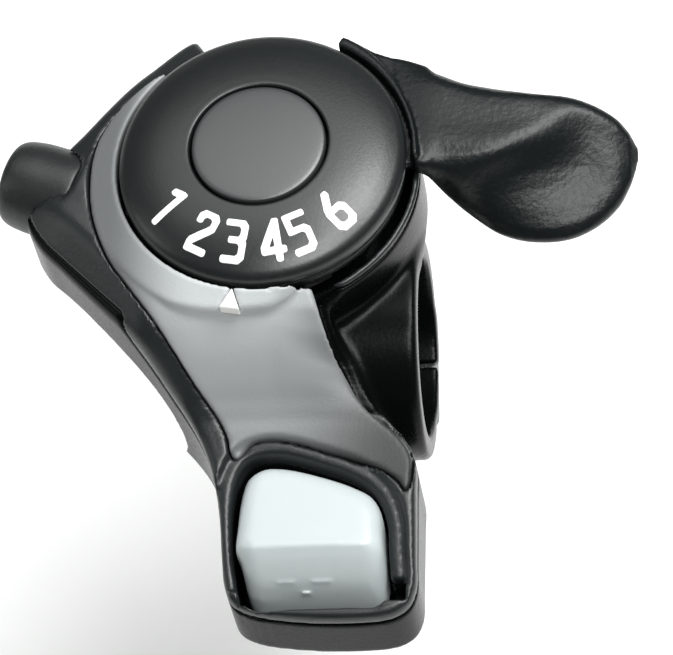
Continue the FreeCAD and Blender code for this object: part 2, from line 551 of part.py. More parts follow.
# sections of the paddle: offset along X from the axis, then (y, z) points
SECTIONS = [
    (16.9, [(14.2, 23.2), (12.0, 24.6), (6.0, 24.7), (0.6, 24.5), (-0.9, 23.6), (-1.0, 22.4), (0.4, 21.9),
            (6.0, 21.9), (12.0, 21.9), (13.8, 22.3)]),
    (19.4, [(13.0, 22.8), (11.4, 24.4), (5.8, 24.4), (0.8, 24.3), (-1.1, 23.4), (-1.3, 21.6), (0.0, 20.9),
            (5.6, 21.0), (11.4, 21.4), (12.9, 22.0)]),
    (21.5, [(12.2, 22.4), (10.6, 24.2), (5.4, 24.2), (0.8, 24.0), (-1.2, 22.6), (-1.8, 18.0), (-0.6, 16.6),
            (5.0, 17.6), (10.6, 20.0), (12.1, 21.2)]),
    (24.0, [(11.4, 21.8), (9.8, 23.9), (4.8, 24.0), (0.2, 23.6), (-2.2, 20.6), (-3.1, 15.4), (-1.6, 14.0),
            (4.0, 15.0), (9.4, 18.0), (11.2, 20.0)]),
    (27.5, [(10.8, 21.2), (9.0, 23.6), (4.6, 24.0), (0.6, 23.4), (-1.6, 20.2), (-5.4, 15.0), (-4.2, 12.7),
            (3.4, 13.4), (9.2, 16.6), (10.8, 19.2)]),
    (32.0, [(9.9, 20.8), (8.4, 23.0), (5.2, 23.8), (2.4, 23.2), (-0.3, 19.8), (-6.9, 14.6), (-5.4, 12.5),
            (3.0, 12.6), (8.6, 15.4), (9.9, 18.2)]),
    (38.0, [(9.0, 19.6), (8.2, 21.6), (6.8, 22.4), (4.6, 21.2), (0.8, 18.6), (-6.1, 14.8), (-5.0, 12.7),
            (2.4, 12.6), (7.6, 14.6), (9.0, 17.0)]),
    (42.5, [(7.0, 18.8), (6.3, 20.0), (5.2, 20.2), (3.4, 19.4), (0.4, 17.8), (-2.7, 15.4), (-2.0, 13.8),
            (1.6, 13.4), (5.2, 14.8), (6.8, 16.8)]),
    (45.0, [(4.6, 17.8), (4.2, 18.3), (3.5, 18.4), (2.6, 18.0), (1.5, 17.4), (0.9, 16.6), (1.3, 16.1),
            (2.5, 16.0), (3.8, 16.4), (4.5, 17.1)]),
]
paddle = loft([[(dx + x, dy + y, z) for y, z in pts] for x, pts in SECTIONS])
lever = hub.fuse([arc_part, arc_rim, paddle])
lever = lever.cut([post(dx, dy, D["dial_radius"] + 0.35, D["hub_high"], 30.0),
                   post(dx, dy, 19.15, 5.0, D["hub_low"])])
lever = only_solid(lever)
lever_arm = feature("lever_arm", lever)

# ---------------------------------------------------------- push button
bl, br = D["button_left"], D["button_right"]
button_plan = [(bl, -28.6), (-14.9, -32.6), (-14.0, -36.2), (-12.6, -37.0), (-4.8, -37.2), (1.2, -37.2),
               (br, -35.8), (br - 0.1, -28.2), (1.5, -25.4), (-1.0, -23.2), (-4.6, -21.4), (-10.4, -19.9),
               (-13.3, -20.4), (-14.6, -22.4), (-15.2, -25.2)]
button_form = prism(button_plan, -2.0, 20.0)
button_side = slab([(-19.0, 8.4), (-21.5, 9.2), (-27.0, 9.7), (-31.5, 10.0), (-33.2, 9.8), (-34.4, 9.0),
                    (-35.6, 6.8), (-36.9, 3.6), (-37.4, 0.6), (-37.4, -0.2), (-35.0, -0.2), (-34.6, 2.0),
                    (-33.6, 6.0), (-31.5, 8.2), (-24.0, 8.0), (-22.0, 7.2), (-21.6, -1.8), (-19.0, -1.8)], -40, 40)
button_form = button_form.common(button_side)
side_walls = prism(button_plan, 1.0, 20.0).common(slab([(-21.0, -1.0), (-21.0, 8.8), (-31.5, 9.9), (-33.2, 9.6),
                                                        (-35.5, 6.6), (-36.8, 3.4), (-36.8, 0.5)], -40, 40))
side_walls = side_walls.cut(Part.makeBox(br - bl - 3.4, 40, 60, V(bl + 1.7, -60 + 18, -20)))
arm = slab([(-21.8, 0.6), (-21.8, -2.0), (D["hinge_y"], D["hinge_z"] - 2.2), (D["hinge_y"] + 2.2, D["hinge_z"]),
            (-15.4, 1.2), (-15.4, 4.2), (-13.9, 5.2), (-13.9, 6.3), (-16.0, 6.3), (-17.6, 4.6), (-18.2, 1.4)],
           -13.6, -9.4)
arm = arm.fuse(Part.makeCylinder(2.1, 13.6, V(-12.9, D["hinge_y"], D["hinge_z"]), V(1, 0, 0)))
arm = arm.fuse(slab([(-21.9, 1.2), (-21.9, -2.0), (D["hinge_y"], D["hinge_z"] - 2.0), (D["hinge_y"], D["hinge_z"] + 2.0)],
                    -12.9, 0.7))
peg = post(D["link_x"], -14.9, 0.75, 5.6, 8.5)
button = button_form.fuse([side_walls, arm, peg])
button = button.cut(Part.makeCylinder(D["hinge_pin"] + 0.05, 40, V(-25, D["hinge_y"], D["hinge_z"]), V(1, 0, 0)))
release_button = feature("release_button", only_solid(button))

button_pin = new_body("button_pin")
sk = new_sketch(button_pin, "button_pin_plan", "YZ_Plane")
draw_circle(sk, "sizes.hinge_y", "sizes.hinge_z", "sizes.hinge_pin")
pad(button_pin, sk, "20.4")
put(button_pin, "-15.9", "0", "0")

# ---------------------------------------------------------- pawl and link
pawl = new_body("holding_pawl")
sk = new_sketch(pawl, "pawl_plan", lift="sizes.pawl_low")
draw_polygon(sk, [("sizes.pawl_x-2.0", "sizes.pawl_y-0.9"), ("sizes.pawl_x-0.8", "sizes.pawl_y-2.1"),
                  ("sizes.pawl_x+1.6", "sizes.pawl_y-1.9"), ("-9.4", "-4.3"), ("-7.2", "-2.5"), ("-7.0", "-0.9"),
                  ("-7.7", "0.0"), ("-8.5", "-0.9"), ("-10.2", "-1.9"), ("sizes.pawl_x+1.8", "sizes.pawl_y+1.5"),
                  ("sizes.pawl_x-0.6", "sizes.pawl_y+2.1"), ("sizes.pawl_x-1.9", "sizes.pawl_y+1.1")])
draw_circle(sk, "sizes.pawl_x", "sizes.pawl_y", "sizes.pawl_pin_radius+0.04")
pad(pawl, sk, "sizes.pawl_thick")
sk = new_sketch(pawl, "pawl_peg", lift="sizes.pawl_low+sizes.pawl_thick")
draw_circle(sk, "sizes.link_x", "-3.2", "0.8")
pad(pawl, sk, "2.2")

pawl_pin = new_body("pawl_pin")
sk = new_sketch(pawl_pin, "pawl_pin_plan", lift="12.1")
draw_circle(sk, "sizes.pawl_x", "sizes.pawl_y", "sizes.pawl_pin_radius")
pad(pawl_pin, sk, "8.3")

link_side = [(-1.7, 16.2), (-1.7, 17.2), (-5.9, 17.2), (-13.7, 7.8), (-16.4, 7.8), (-16.4, 6.8), (-13.2, 6.8),
             (-5.5, 16.2)]
lx, lw = D["link_x"], D["link_width"]
link = slab(link_side, lx - lw / 2, lx + lw / 2)
link = link.cut([post(lx, -3.2, 1.1, 15.0, 18.0), post(lx, -14.9, 1.1, 6.0, 10.0)])
release_link = feature("release_link", only_solid(link))


# ---------------------------------------------------------- springs
def coil(radius, wire, pitch, height, base, direction):
    helix = Part.makeLongHelix(pitch, height, radius, 0.0, False)
    start = V(radius, 0, 0)
    profile = Part.Wire([Part.Circle(start, V(0, 1, pitch / (2 * math.pi * radius)), wire).toShape()])
    solid = Part.Wire(helix.Edges).makePipeShell([profile], True, True)
    place = FreeCAD.Placement(base, FreeCAD.Rotation(V(0, 0, 1), direction))
    return solid.transformGeometry(place.toMatrix())


button_spring = feature("button_spring", only_solid(coil(2.1, 0.3, 1.45, 8.7, V(-6.4, -29.6, -2.25), V(0, 0, 1))))
pawl_spring = feature("pawl_spring", only_solid(coil(0.7, 0.17, 0.62, 3.0, V(-7.35, -6.2, 14.95), V(0, 1, 0))))

# ---------------------------------------------------------- adjusting barrel
def along_barrel(obj, lift):
    obj.Placement = FreeCAD.Placement(barrel_root_pt + barrel_dir * lift,
                                      FreeCAD.Rotation(V(0, 0, 1), barrel_dir))


adjuster_barrel = new_body("adjuster_barrel")
sk = new_sketch(adjuster_barrel, "barrel_profile", "XZ_Plane")
draw_polygon(sk, [("sizes.inner_bore", "-1.0*sizes.shank_length"), ("sizes.shank_radius-0.4", "-1.0*sizes.shank_length"),
                  ("sizes.shank_radius", "-1.0*sizes.shank_length+0.4"), ("sizes.shank_radius", "1.3"),
                  ("sizes.barrel_root-0.2", "1.3"), ("sizes.barrel_root", "1.7"),
                  ("sizes.barrel_root-0.1", "2.6"),
                  ("sizes.barrel_tip", "1.2+sizes.barrel_head-0.4"), ("sizes.barrel_tip-0.4", "1.2+sizes.barrel_head"),
                  ("sizes.socket_radius", "1.2+sizes.barrel_head"),
                  ("sizes.socket_radius", "1.2+sizes.barrel_head-1.0*sizes.socket_depth"),
                  ("sizes.seat_radius", "1.2+sizes.barrel_head-1.0*sizes.socket_depth"),
                  ("sizes.seat_radius", "0.2+sizes.barrel_head-1.0*sizes.socket_depth"),
                  ("sizes.inner_bore", "0.2+sizes.barrel_head-1.0*sizes.socket_depth")])
revolve(adjuster_barrel, sk)
along_barrel(adjuster_barrel, 0.0)

casing_seat = new_body("casing_seat")
sk = new_sketch(casing_seat, "seat_profile", "XZ_Plane")
base = "0.2+sizes.barrel_head-1.0*sizes.socket_depth"
draw_polygon(sk, [("0.9", base + "+0.02"), ("sizes.seat_radius-0.03", base + "+0.02"),
                  ("sizes.seat_radius-0.03", base + "+1.0"), ("0.9", base + "+1.0")])
revolve(casing_seat, sk)
along_barrel(casing_seat, 0.0)

# ------------------------------------------------------------------- checks
doc.recompute()
problems = []
for obj in doc.Objects:
    if any(flag in ("Invalid", "Error") for flag in obj.State):
        problems.append("%s: %s" % (obj.Name, obj.State))
for obj in NODES:
    if obj.Shape.isNull() or not obj.Shape.isValid() or not obj.Shape.Solids:
        problems.append("%s: shape is not good" % obj.Label)
if problems:
    raise RuntimeError("; ".join(problems))

os.makedirs("parts", exist_ok=True)
for obj in NODES:
    obj.Shape.exportStep("parts/%s.step" % obj.Label)
    b = obj.Shape.BoundBox
    print("%-18s solids %d volume %8.1f  x %6.1f %6.1f  y %6.1f %6.1f  z %6.1f %6.1f" % (
        obj.Label, len(obj.Shape.Solids), obj.Shape.Volume, b.XMin, b.XMax, b.YMin, b.YMax, b.ZMin, b.ZMax))
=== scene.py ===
import bpy, json, math, time
import numpy as np
from mathutils import Matrix, Vector


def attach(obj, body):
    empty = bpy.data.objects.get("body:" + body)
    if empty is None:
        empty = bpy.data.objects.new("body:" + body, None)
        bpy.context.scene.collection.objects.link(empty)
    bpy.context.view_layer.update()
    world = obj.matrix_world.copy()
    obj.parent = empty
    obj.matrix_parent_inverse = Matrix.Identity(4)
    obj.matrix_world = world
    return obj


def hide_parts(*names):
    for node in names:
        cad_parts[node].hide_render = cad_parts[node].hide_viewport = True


T_START = time.time()
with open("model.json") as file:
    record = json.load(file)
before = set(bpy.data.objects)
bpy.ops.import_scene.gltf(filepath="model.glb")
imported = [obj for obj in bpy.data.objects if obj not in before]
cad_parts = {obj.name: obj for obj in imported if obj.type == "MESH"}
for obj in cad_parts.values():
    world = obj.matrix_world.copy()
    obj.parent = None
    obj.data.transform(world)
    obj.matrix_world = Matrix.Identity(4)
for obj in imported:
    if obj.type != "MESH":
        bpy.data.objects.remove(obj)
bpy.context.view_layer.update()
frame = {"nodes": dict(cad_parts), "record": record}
MM = 0.001
DX, DY = -11.1, 12.9            # lever axis in plan, mm

# ------------------------------------------------------------------ camera
TILT, AZ, PHI = math.radians(30.7), math.radians(14.0), math.radians(-1.5)
n = np.array([-math.sin(AZ) * math.sin(TILT), math.cos(AZ) * math.sin(TILT), math.cos(TILT)])
e1 = np.array([1, 0, 0]) - n[0] * n
e1 /= np.linalg.norm(e1)
e2 = np.cross(n, e1)
Xr = math.cos(PHI) * e1 + math.sin(PHI) * e2
Yr = np.cross(n, Xr)
M = np.array([Xr, Yr, n])
right, up, back = M[:, 0], M[:, 1], M[:, 2]
DIST, SCALE = 480.0, 8.286
loc = np.array([DX, DY, 25.0]) + (673 / 2 - 262.0) / SCALE * right + (158.0 - 655 / 2) / SCALE * up + DIST * back
cam_data = bpy.data.cameras.new("camera")
cam_data.sensor_width = 36.0
cam_data.sensor_fit = "HORIZONTAL"
cam_data.lens = SCALE * 36.0 * DIST / 673.0
cam_data.clip_start = 0.01
cam_data.clip_end = 20.0
cam = bpy.data.objects.new("camera", cam_data)
bpy.context.scene.collection.objects.link(cam)
rot = Matrix([[right[i], up[i], back[i]] for i in range(3)])
cam.matrix_world = Matrix.Translation(Vector(loc * MM)) @ rot.to_4x4()
bpy.context.scene.camera = cam


# ------------------------------------------------------------------ fields
def smin(a, b, k):
    t = np.clip(0.5 + 0.5 * (b - a) / k, 0, 1)
    return b * (1 - t) + a * t - k * t * (1 - t)


def smax(a, b, k):
    return -smin(-a, -b, k)


def step(x, a, b):
    t = np.clip((x - a) / (b - a), 0, 1)
    return t * t * (3 - 2 * t)


def spline(points, count=12, closed=True):
    """Points on a smooth curve through the given ones."""
    p = np.array(points, float)
    m = len(p)
    out = []
    for i in range(m if closed else m - 1):
        a, b = p[(i - 1) % m], p[i]
        c, d = p[(i + 1) % m], p[(i + 2) % m]
        if not closed:
            a = p[max(i - 1, 0)]
            d = p[min(i + 2, m - 1)]
        la, lb, lc = (max(np.linalg.norm(v), 1e-6) ** 0.5 for v in (b - a, c - b, d - c))
        m1 = ((b - a) / la - (c - a) / (la + lb) + (c - b) / lb) * lb if np.linalg.norm(b - a) > 1e-9 else c - b
        m2 = ((c - b) / lb - (d - b) / (lb + lc) + (d - c) / lc) * lb if np.linalg.norm(d - c) > 1e-9 else c - b
        for t in np.arange(count) / count:
            h1, h2 = 2 * t**3 - 3 * t**2 + 1, t**3 - 2 * t**2 + t
            h3, h4 = -2 * t**3 + 3 * t**2, t**3 - t**2
            out.append(h1 * b + h2 * m1 + h3 * c + h4 * m2)
    if not closed:
        out.append(p[-1])
    return np.array(out)


def sd_poly(x, y, pts):
    """Signed distance in the plane to a closed outline, negative inside."""
    pts = np.asarray(pts, float)
    d = np.full(np.broadcast(x, y).shape, 1e9)
    inside = np.zeros(d.shape, bool)
    m = len(pts)
    for i in range(m):
        a, b = pts[i], pts[(i + 1) % m]
        e = b - a
        wx, wy = x - a[0], y - a[1]
        t = np.clip((wx * e[0] + wy * e[1]) / max(e @ e, 1e-12), 0, 1)
        d = np.minimum(d, (wx - e[0] * t) ** 2 + (wy - e[1] * t) ** 2)
        if a[1] != b[1]:
            cross = ((a[1] > y) != (b[1] > y)) & (x < e[0] * (y - a[1]) / e[1] + a[0])
            inside ^= cross
    d = np.sqrt(d)
    return np.where(inside, -d, d)


def grid(lo, hi, h):
    ax = [np.arange(l, u + h, h) for l, u in zip(lo, hi)]
    return ax[0][:, None, None], ax[1][None, :, None], ax[2][None, None, :]


def nets(F, gx, gy, gz, smooth=2):
    """Mesh of the surface F = 0, one point to a cell, with quads."""
    F = F.astype(np.float32)
    xs, ys, zs = gx.ravel(), gy.ravel(), gz.ravel()
    h = xs[1] - xs[0]
    s = F < 0
    tot = np.zeros(tuple(q - 1 for q in F.shape), np.int8)
    offs = [(i, j, k) for i in (0, 1) for j in (0, 1) for k in (0, 1)]
    sl = lambda A, o: A[o[0]:A.shape[0] - 1 + o[0], o[1]:A.shape[1] - 1 + o[1], o[2]:A.shape[2] - 1 + o[2]]
    for o in offs:
        tot += sl(s, o)
    ci, cj, ck = np.nonzero((tot > 0) & (tot < 8))
    idx = np.full(tot.shape, -1, np.int32)
    idx[ci, cj, ck] = np.arange(len(ci))
    acc = np.zeros((len(ci), 3))
    cnt = np.zeros(len(ci))
    for a in offs:
        for ax in range(3):
            if a[ax] == 1:
                continue
            b = list(a)
            b[ax] = 1
            fa = F[ci + a[0], cj + a[1], ck + a[2]]
            fb = F[ci + b[0], cj + b[1], ck + b[2]]
            cr = (fa < 0) != (fb < 0)
            t = fa / np.where(cr, fa - fb, 1)
            for q in range(3):
                acc[:, q] += np.where(cr, a[q] + (t if q == ax else 0), 0)
            cnt += cr
    v = acc / cnt[:, None] + np.stack([ci, cj, ck], 1)
    faces = []
    for ax in range(3):
        u1, u2 = [(1, 2), (2, 0), (0, 1)][ax]
        a = s[tuple(slice(0, -1) if q == ax else slice(1, -1) for q in range(3))]
        b = s[tuple(slice(1, None) if q == ax else slice(1, -1) for q in range(3))]
        e = np.array(np.nonzero(a != b)).T
        flip = a[tuple(e.T)]
        cell = e.copy()
        for q in range(3):
            if q != ax:
                cell[:, q] += 1
        def at(d1, d2):
            c = cell.copy()
            c[:, u1] -= d1
            c[:, u2] -= d2
            return idx[c[:, 0], c[:, 1], c[:, 2]]
        quad = np.stack([at(1, 1), at(0, 1), at(0, 0), at(1, 0)], 1)
        quad[~flip] = quad[~flip][:, ::-1]
        faces.append(quad)
    faces = np.concatenate(faces)
    # light smoothing along the surface, held within half a cell
    if smooth:
        e = np.concatenate([faces[:, [0, 1]], faces[:, [1, 2]], faces[:, [2, 3]], faces[:, [3, 0]]])
        e = np.concatenate([e, e[:, ::-1]])
        deg = np.bincount(e[:, 0], minlength=len(v))[:, None]
        v0 = v.copy()
        for _ in range(smooth):
            avg = np.stack([np.bincount(e[:, 0], weights=v[e[:, 1], q], minlength=len(v)) for q in range(3)], 1) / deg
            v = v + 0.5 * (avg - v)
            v = v0 + np.clip(v - v0, -0.35, 0.35)
    v = v * h + np.array([xs[0], ys[0], zs[0]])
    return v, faces


def keep_largest(v, f, least=400):
    """Drops loose specks left by a field."""
    parent = np.arange(len(v))
    e = np.concatenate([f[:, [0, 1]], f[:, [1, 2]], f[:, [2, 3]]])
    for _ in range(200):
        m = np.minimum(parent[e[:, 0]], parent[e[:, 1]])
        new = parent.copy()
        np.minimum.at(new, e[:, 0], m)
        np.minimum.at(new, e[:, 1], m)
        new = new[new]
        if (new == parent).all():
            break
        parent = new
    count = np.bincount(parent, minlength=len(v))
    ok = count[parent] >= least
    f = f[ok[f[:, 0]]]
    used = np.unique(f)
    remap = np.full(len(v), -1)
    remap[used] = np.arange(len(used))
    return v[used], remap[f]


def add_mesh(name, v, f, smooth=True):
    me = bpy.data.meshes.new(name)
    v = np.asarray(v, float) * MM
    f = [tuple(int(i) for i in q) for q in f] if not isinstance(f, np.ndarray) else f
    me.from_pydata(v.tolist(), [], f.tolist() if isinstance(f, np.ndarray) else f)
    me.validate()
    if smooth:
        me.polygons.foreach_set("use_smooth", [True] * len(me.polygons))
    me.update()
    ob = bpy.data.objects.new(name, me)
    bpy.context.scene.collection.objects.link(ob)
    return ob


def field_piece(name, F, g, least=400, smooth=2):
    v, f = nets(F, *g, smooth=smooth)
    v, f = keep_largest(v, f, least)
    print("PIECE %s verts %d box %s %s t %.1f" % (name, len(v), v.min(0).round(2), v.max(0).round(2), time.time() - T_START))
    return add_mesh(name, v, f)


def lathe(name, profile, at, axis=(0, 0, 1), steps=128, closed=False):
    """Turned piece: profile of (radius, height) points about an axis."""
    prof = np.array(profile, float)
    a = np.arange(steps) * 2 * math.pi / steps
    v = np.stack([np.outer(np.cos(a), prof[:, 0]), np.outer(np.sin(a), prof[:, 0]),
                  np.outer(np.ones(steps), prof[:, 1])], 2).reshape(-1, 3)
    m = len(prof)
    f = []
    for i in range(steps):
        j = (i + 1) % steps
        for k in range(m if closed else m - 1):
            q = [i * m + k, j * m + k, j * m + (k + 1) % m, i * m + (k + 1) % m]
            f.append(q)
    z = Vector(axis).normalized()
    R = z.to_track_quat("Z", "Y").to_matrix() if abs(z.z) < 0.999 else Matrix.Identity(3)
    v = v @ np.array(R).T + np.array(at)
    ob = add_mesh(name, v, f)
    bm_merge(ob)
    return ob


def bm_merge(ob, dist=0.00002):
    import bmesh
    bm = bmesh.new()
    bm.from_mesh(ob.data)
    bmesh.ops.remove_doubles(bm, verts=bm.verts, dist=dist)
    bmesh.ops.recalc_face_normals(bm, faces=bm.faces)
    bm.to_mesh(ob.data)
    bm.free()
    ob.data.polygons.foreach_set("use_smooth", [True] * len(ob.data.polygons))
    ob.data.update()


# ------------------------------------------------------------------ housing plan
WALL_R, RIGHT_R, WELL_R = 22.0, 18.7, 17.95
flank = [(-39.8, 15.4), (-40.8, 12.6), (-40.9, 8.6), (-39.2, 5.2), (-36.2, 1.9), (-30.4, -4.3), (-24.6, -10.4),
         (-20.7, -15.4), (-18.5, -20.4), (-17.5, -26.0)]
tail = [(-17.1, -32.0), (-16.8, -34.6), (-15.9, -36.8), (-13.6, -38.1), (-9.5, -38.9), (-4.5, -39.35), (0.6, -39.35),
        (3.6, -38.9), (5.4, -37.7), (6.3, -35.6), (6.35, -32.0)]
rightside = [(6.35, -24.0), (6.3, -20.4), (5.4, -17.9), (3.2, -15.2), (0.6, -12.0), (-1.6, -8.2), (-3.4, -4.4)]
arc_pts = lambda r, a0, a1, st: [(DX + r * math.cos(math.radians(a)), DY + r * math.sin(math.radians(a)))
                                 for a in np.arange(a0, a1 + (0.1 if st > 0 else -0.1), st)]
plan_pts = spline(flank + tail + rightside + arc_pts(RIGHT_R, -62, 114, 8), 6, closed=False).tolist()
plan_pts += arc_pts(RIGHT_R, 115, 115, 1) + [(-19.05, 30.3)]
plan_pts += spline([(-20.4, 32.6), (-21.4, 32.3), (-25.2, 29.0), (-28.7, 25.6), (-31.5, 22.3), (-34.1, 19.3), (-36.6, 17.2),
                    (-39.8, 15.4)], 5, closed=False)[:-1].tolist()
pocket_pts = spline([(-15.9, -28.6), (-15.5, -33.0), (-14.7, -36.6), (-13.0, -37.9), (-8.0, -38.0), (-2.0, -38.0), (1.8, -37.9),
                     (3.05, -36.2), (3.0, -31.0), (2.8, -27.6), (1.6, -24.6), (-0.9, -22.4), (-4.6, -20.8), (-10.6, -19.2),
                     (-13.9, -19.8), (-15.2, -21.8), (-15.8, -25.0)], 8)
taper = [(133, 18.3), (140, 18.95), (147, 19.4), (153, 19.9), (160, 20.5), (168, 21.05), (178, 21.35), (188, 21.55), (197, 21.75), (206, 21.95), (214, 22.2)]
cover_out = spline([arc_pts(q, a, a, 1)[0] for a, q in taper] +
                   [(-27.6, -2.2), (-25.2, -5.4), (-20.5, -11.4), (-17.4, -15.2), (-16.4, -17.3), (-16.0, -19.2),
                    (-15.2, -19.6), (-13.7, -17.9), (-11.4, -17.4), (-8.0, -17.9), (-5.2, -18.8), (-1.6, -20.0), (2.2, -21.6),
                    (4.3, -23.2), (5.1, -24.4), (5.6, -23.8), (5.9, -22.0), (5.9, -20.0), (5.2, -17.9), (3.4, -16.1),
                    (1.7, -14.7), (0.6, -13.2), (-0.4, -11.5), (-1.3, -9.9), (-2.1, -8.4), (-2.9, -6.5), (-3.8, -3.6),
                    (-4.0, -3.0)], 6, closed=False).tolist()
cover_out += arc_pts(18.0, -70.2, -74, -2) + arc_pts(17.0, -76, -227, -6)

H = 0.3


def smooth_line(v, at, heights, width=0.8):
    """Height along a line, with its corners rounded off."""
    fine = np.arange(-46.0, 46.0, 0.05)
    t = np.interp(fine, at, heights)
    k = max(3, int(width / 0.05)) | 1
    ker = np.hanning(k + 2)[1:-1]
    t = np.convolve(np.pad(t, k // 2, mode="edge"), ker / ker.sum(), mode="valid")
    return np.interp(v, fine, t)


TOP_Y = [-41, -39.5, -30, -24, -20, -17.5, -15.5, -13.5, -11.5, -9.5, -7.8, -6.2, -4.6, -3.2, 0, 40]
TOP_Z = [5.2, 5.4, 7.5, 8.8, 9.6, 10.2, 11.0, 12.7, 15.4, 18.4, 20.6, 22.1, 23.1, 23.5, 23.5, 23.5]
CREST_Y = [-41, -24, -19.6, -17.7, -16, -14.6, -13.2, -11.5, -9.9, -9.3, -8.4, -6.5, -3.6, -2, 40]
CREST_X = [4.5, 4.5, 5.2, 4.1, 2.2, 0.5, -0.6, -1.6, -2.5, -2.95, -3.4, -4.05, -4.95, -5.5, -5.5]
CREST_Z = [5.2, 8.8, 9.3, 9.7, 10.2, 10.9, 11.5, 12.1, 13.1, 14.9, 18.5, 21.6, 23.4, 23.5, 23.5]
LOW_Z = [5.2, 8.2, 8.6, 8.8, 9.0, 9.2, 9.4, 10.0, 10.8, 11.2, 11.8, 14.2, 19.0, 21.0, 21.0]


def top_height(x, y):
    """Height of the housing's outer skin over the plan."""
    base = smooth_line(y, TOP_Y, TOP_Z, 2.0)
    crest_x = smooth_line(y, CREST_Y, CREST_X, 1.0)
    crest_z = np.minimum(smooth_line(y, CREST_Y, CREST_Z, 0.9), base)
    u = np.clip((x + 9.2) / (crest_x + 9.2), 0, 1)
    u = np.where(crest_x + 9.2 < 0.5, 0, u)
    side = base + (crest_z - base) * u ** 1.6
    neck = side
    on = step(-y, 2.2, 3.6) * step(x, -9.4, -8.8)
    base = base * (1 - on) + neck * on
    # shelf beside the gray collar, falling to the flank
    s = (x + y) / math.sqrt(2)
    bev = 20.3 + (s + 33.4 / math.sqrt(2)) * 0.92
    bev = bev + 30 * step(-y, 12.0, 26.0)
    t = smin(base, bev, 1.2)
    return t


print("TIME start", time.time() - T_START)
gx, gy, gz = grid((-43, -41, -24), (9, 36, 26), H)
X2, Y2 = gx[:, :, 0], gy[:, :, 0]
d_plan = sd_poly(X2, Y2, plan_pts)
d_pocket = sd_poly(X2, Y2, pocket_pts)
d_cover = sd_poly(X2, Y2, cover_out)
T2 = top_height(X2, Y2)
r2 = np.hypot(X2 - DX, Y2 - DY)
ang2 = np.degrees(np.arctan2(Y2 - DY, X2 - DX))
# rounded band round the push button, below a crease
band_w = np.interp(Y2, [-40, -26, -20, -15], [2.0, 2.0, 1.9, 1.7])
band = 1 - step(d_pocket, band_w - 0.5, band_w + 0.5)
crown = 0.62 * np.clip(1 - ((d_pocket - 0.5 * band_w) / (0.56 * band_w)) ** 2, 0, 1)
fade = 1 - step(-Y2, 35.3, 35.9)
T2 = T2 - (1.25 - crown) * band * fade
# skin falling away from the gray collar towards the guard and the barrel
ang_p = np.where(ang2 < 0, ang2 + 360, ang2)
out = np.clip(r2 - np.interp(ang_p, [q[0] for q in taper], [q[1] for q in taper]), 0, 12)
T2 = T2 - 0.42 * out * step(ang_p, 112.0, 114.5) * (1 - step(ang_p, 168.0, 200.0)) * (r2 > 17.0)
gxT, gyT = np.gradient(T2, H, H)
slope = np.sqrt(1 + np.clip(gxT ** 2 + gyT ** 2, 0, 2.5))
dP, dK, dC, T3, S3 = (a[:, :, None] for a in (d_plan, d_pocket, d_cover, T2, slope))
R3, A3 = r2[:, :, None], ang2[:, :, None]
Rbar = np.sqrt(gy ** 2 + gz ** 2)

bottom_y = np.array([-45, -14.4, -14.0, 4.0, 5.0, 45])
bottom_z = np.array([-4.5, -4.5, -4.5, -4.5, 10.5, 10.5])
B1 = np.interp(gy, bottom_y, bottom_z)
body = smax(dP, (gz - T3) / S3, 1.1)
# collar rising to the dial, narrow at its right end
ang_n = np.where(A3 > 120, A3 - 360, A3)
col_out = np.interp(ang_n, [-228, -120, -104, -95, -86, -80, -74], [21.9, 21.6, 20.6, 20.0, 19.7, 19.0, 18.0])
col_h = 1.5 * step(-ang_n, 72.0, 79.0)
col_top = 23.45 + col_h * np.clip((col_out - R3) / np.maximum(col_out - 17.8, 0.2), -0.3, 1.1)
collar = smax(smax(R3 - col_out, (gz - col_top) / 1.09, 0.3), np.maximum(18.6 - gz, np.maximum((ang_n + 72.0) * 0.31, (-228.0 - ang_n) * 0.35)), 0.2)
body = smax(body, B1 - gz, 0.6)
body = smax(body, 11.62 - Rbar, 0.5)
body = np.maximum(body, np.where((gy > -3), 10.5 - gz, -50))
seam_yz = np.array([(-45, 2.6), (-20, 5.8), (-15, 7.9), (-12.5, 10.2), (-9.5, 14.4), (-5.5, 19.9), (-5.0, 20), (40, 20)])
seam = np.interp(gy, seam_yz[:, 0], seam_yz[:, 1])
seam = np.minimum(seam, 20.0)
well = R3 - WELL_R
# drum room only from the floor up
well3 = np.maximum(well, 13.5 - gz)
pocket3 = np.maximum(dK, -2.6 - gz)
corner = smax(smax(np.abs(gx + 4.9) - 9.95, np.abs(gy + 36.0) - 1.3, 0.3), 1.0 - gz, 0.3)
pocket3 = np.minimum(pocket3, corner)
barrel_dir = np.array([-0.937, 0.349, 0.0]); barrel_dir /= np.linalg.norm(barrel_dir)
root = np.array([-37.8, 13.8, 17.5])
bx, by, bz = gx - root[0], gy - root[1], gz - root[2]
bl = bx * barrel_dir[0] + by * barrel_dir[1]
bp = np.sqrt((bx - bl * barrel_dir[0]) ** 2 + (by - bl * barrel_dir[1]) ** 2 + bz ** 2)
boss = smax(bp - 6.35, np.maximum(bl - 1.0, -9.0 - bl), 0.5)
boss = smax(boss, (bl - (0.9 - 0.42 * (bz + 6.0))) * 0.92, 0.6)
shank = np.maximum(bp - 3.1, -14 - bl)
head_room = np.minimum(np.maximum(bp - 6.15, 1.1 - bl), np.maximum(bp - 5.85, -3.9 - bl))
slant = bl - (0.9 - 0.42 * (bz + 6.0))
a0, a1 = math.radians(-69.9), math.radians(114.5)
side0 = (gx - DX) * -math.sin(a0) + (gy - DY) * math.cos(a0)
side1 = (gx - DX) * math.sin(a1) - (gy - DY) * math.cos(a1)
sweep = np.maximum(np.minimum(-side0, -side1), np.maximum(21.3 - gz, R3 - 24.5))
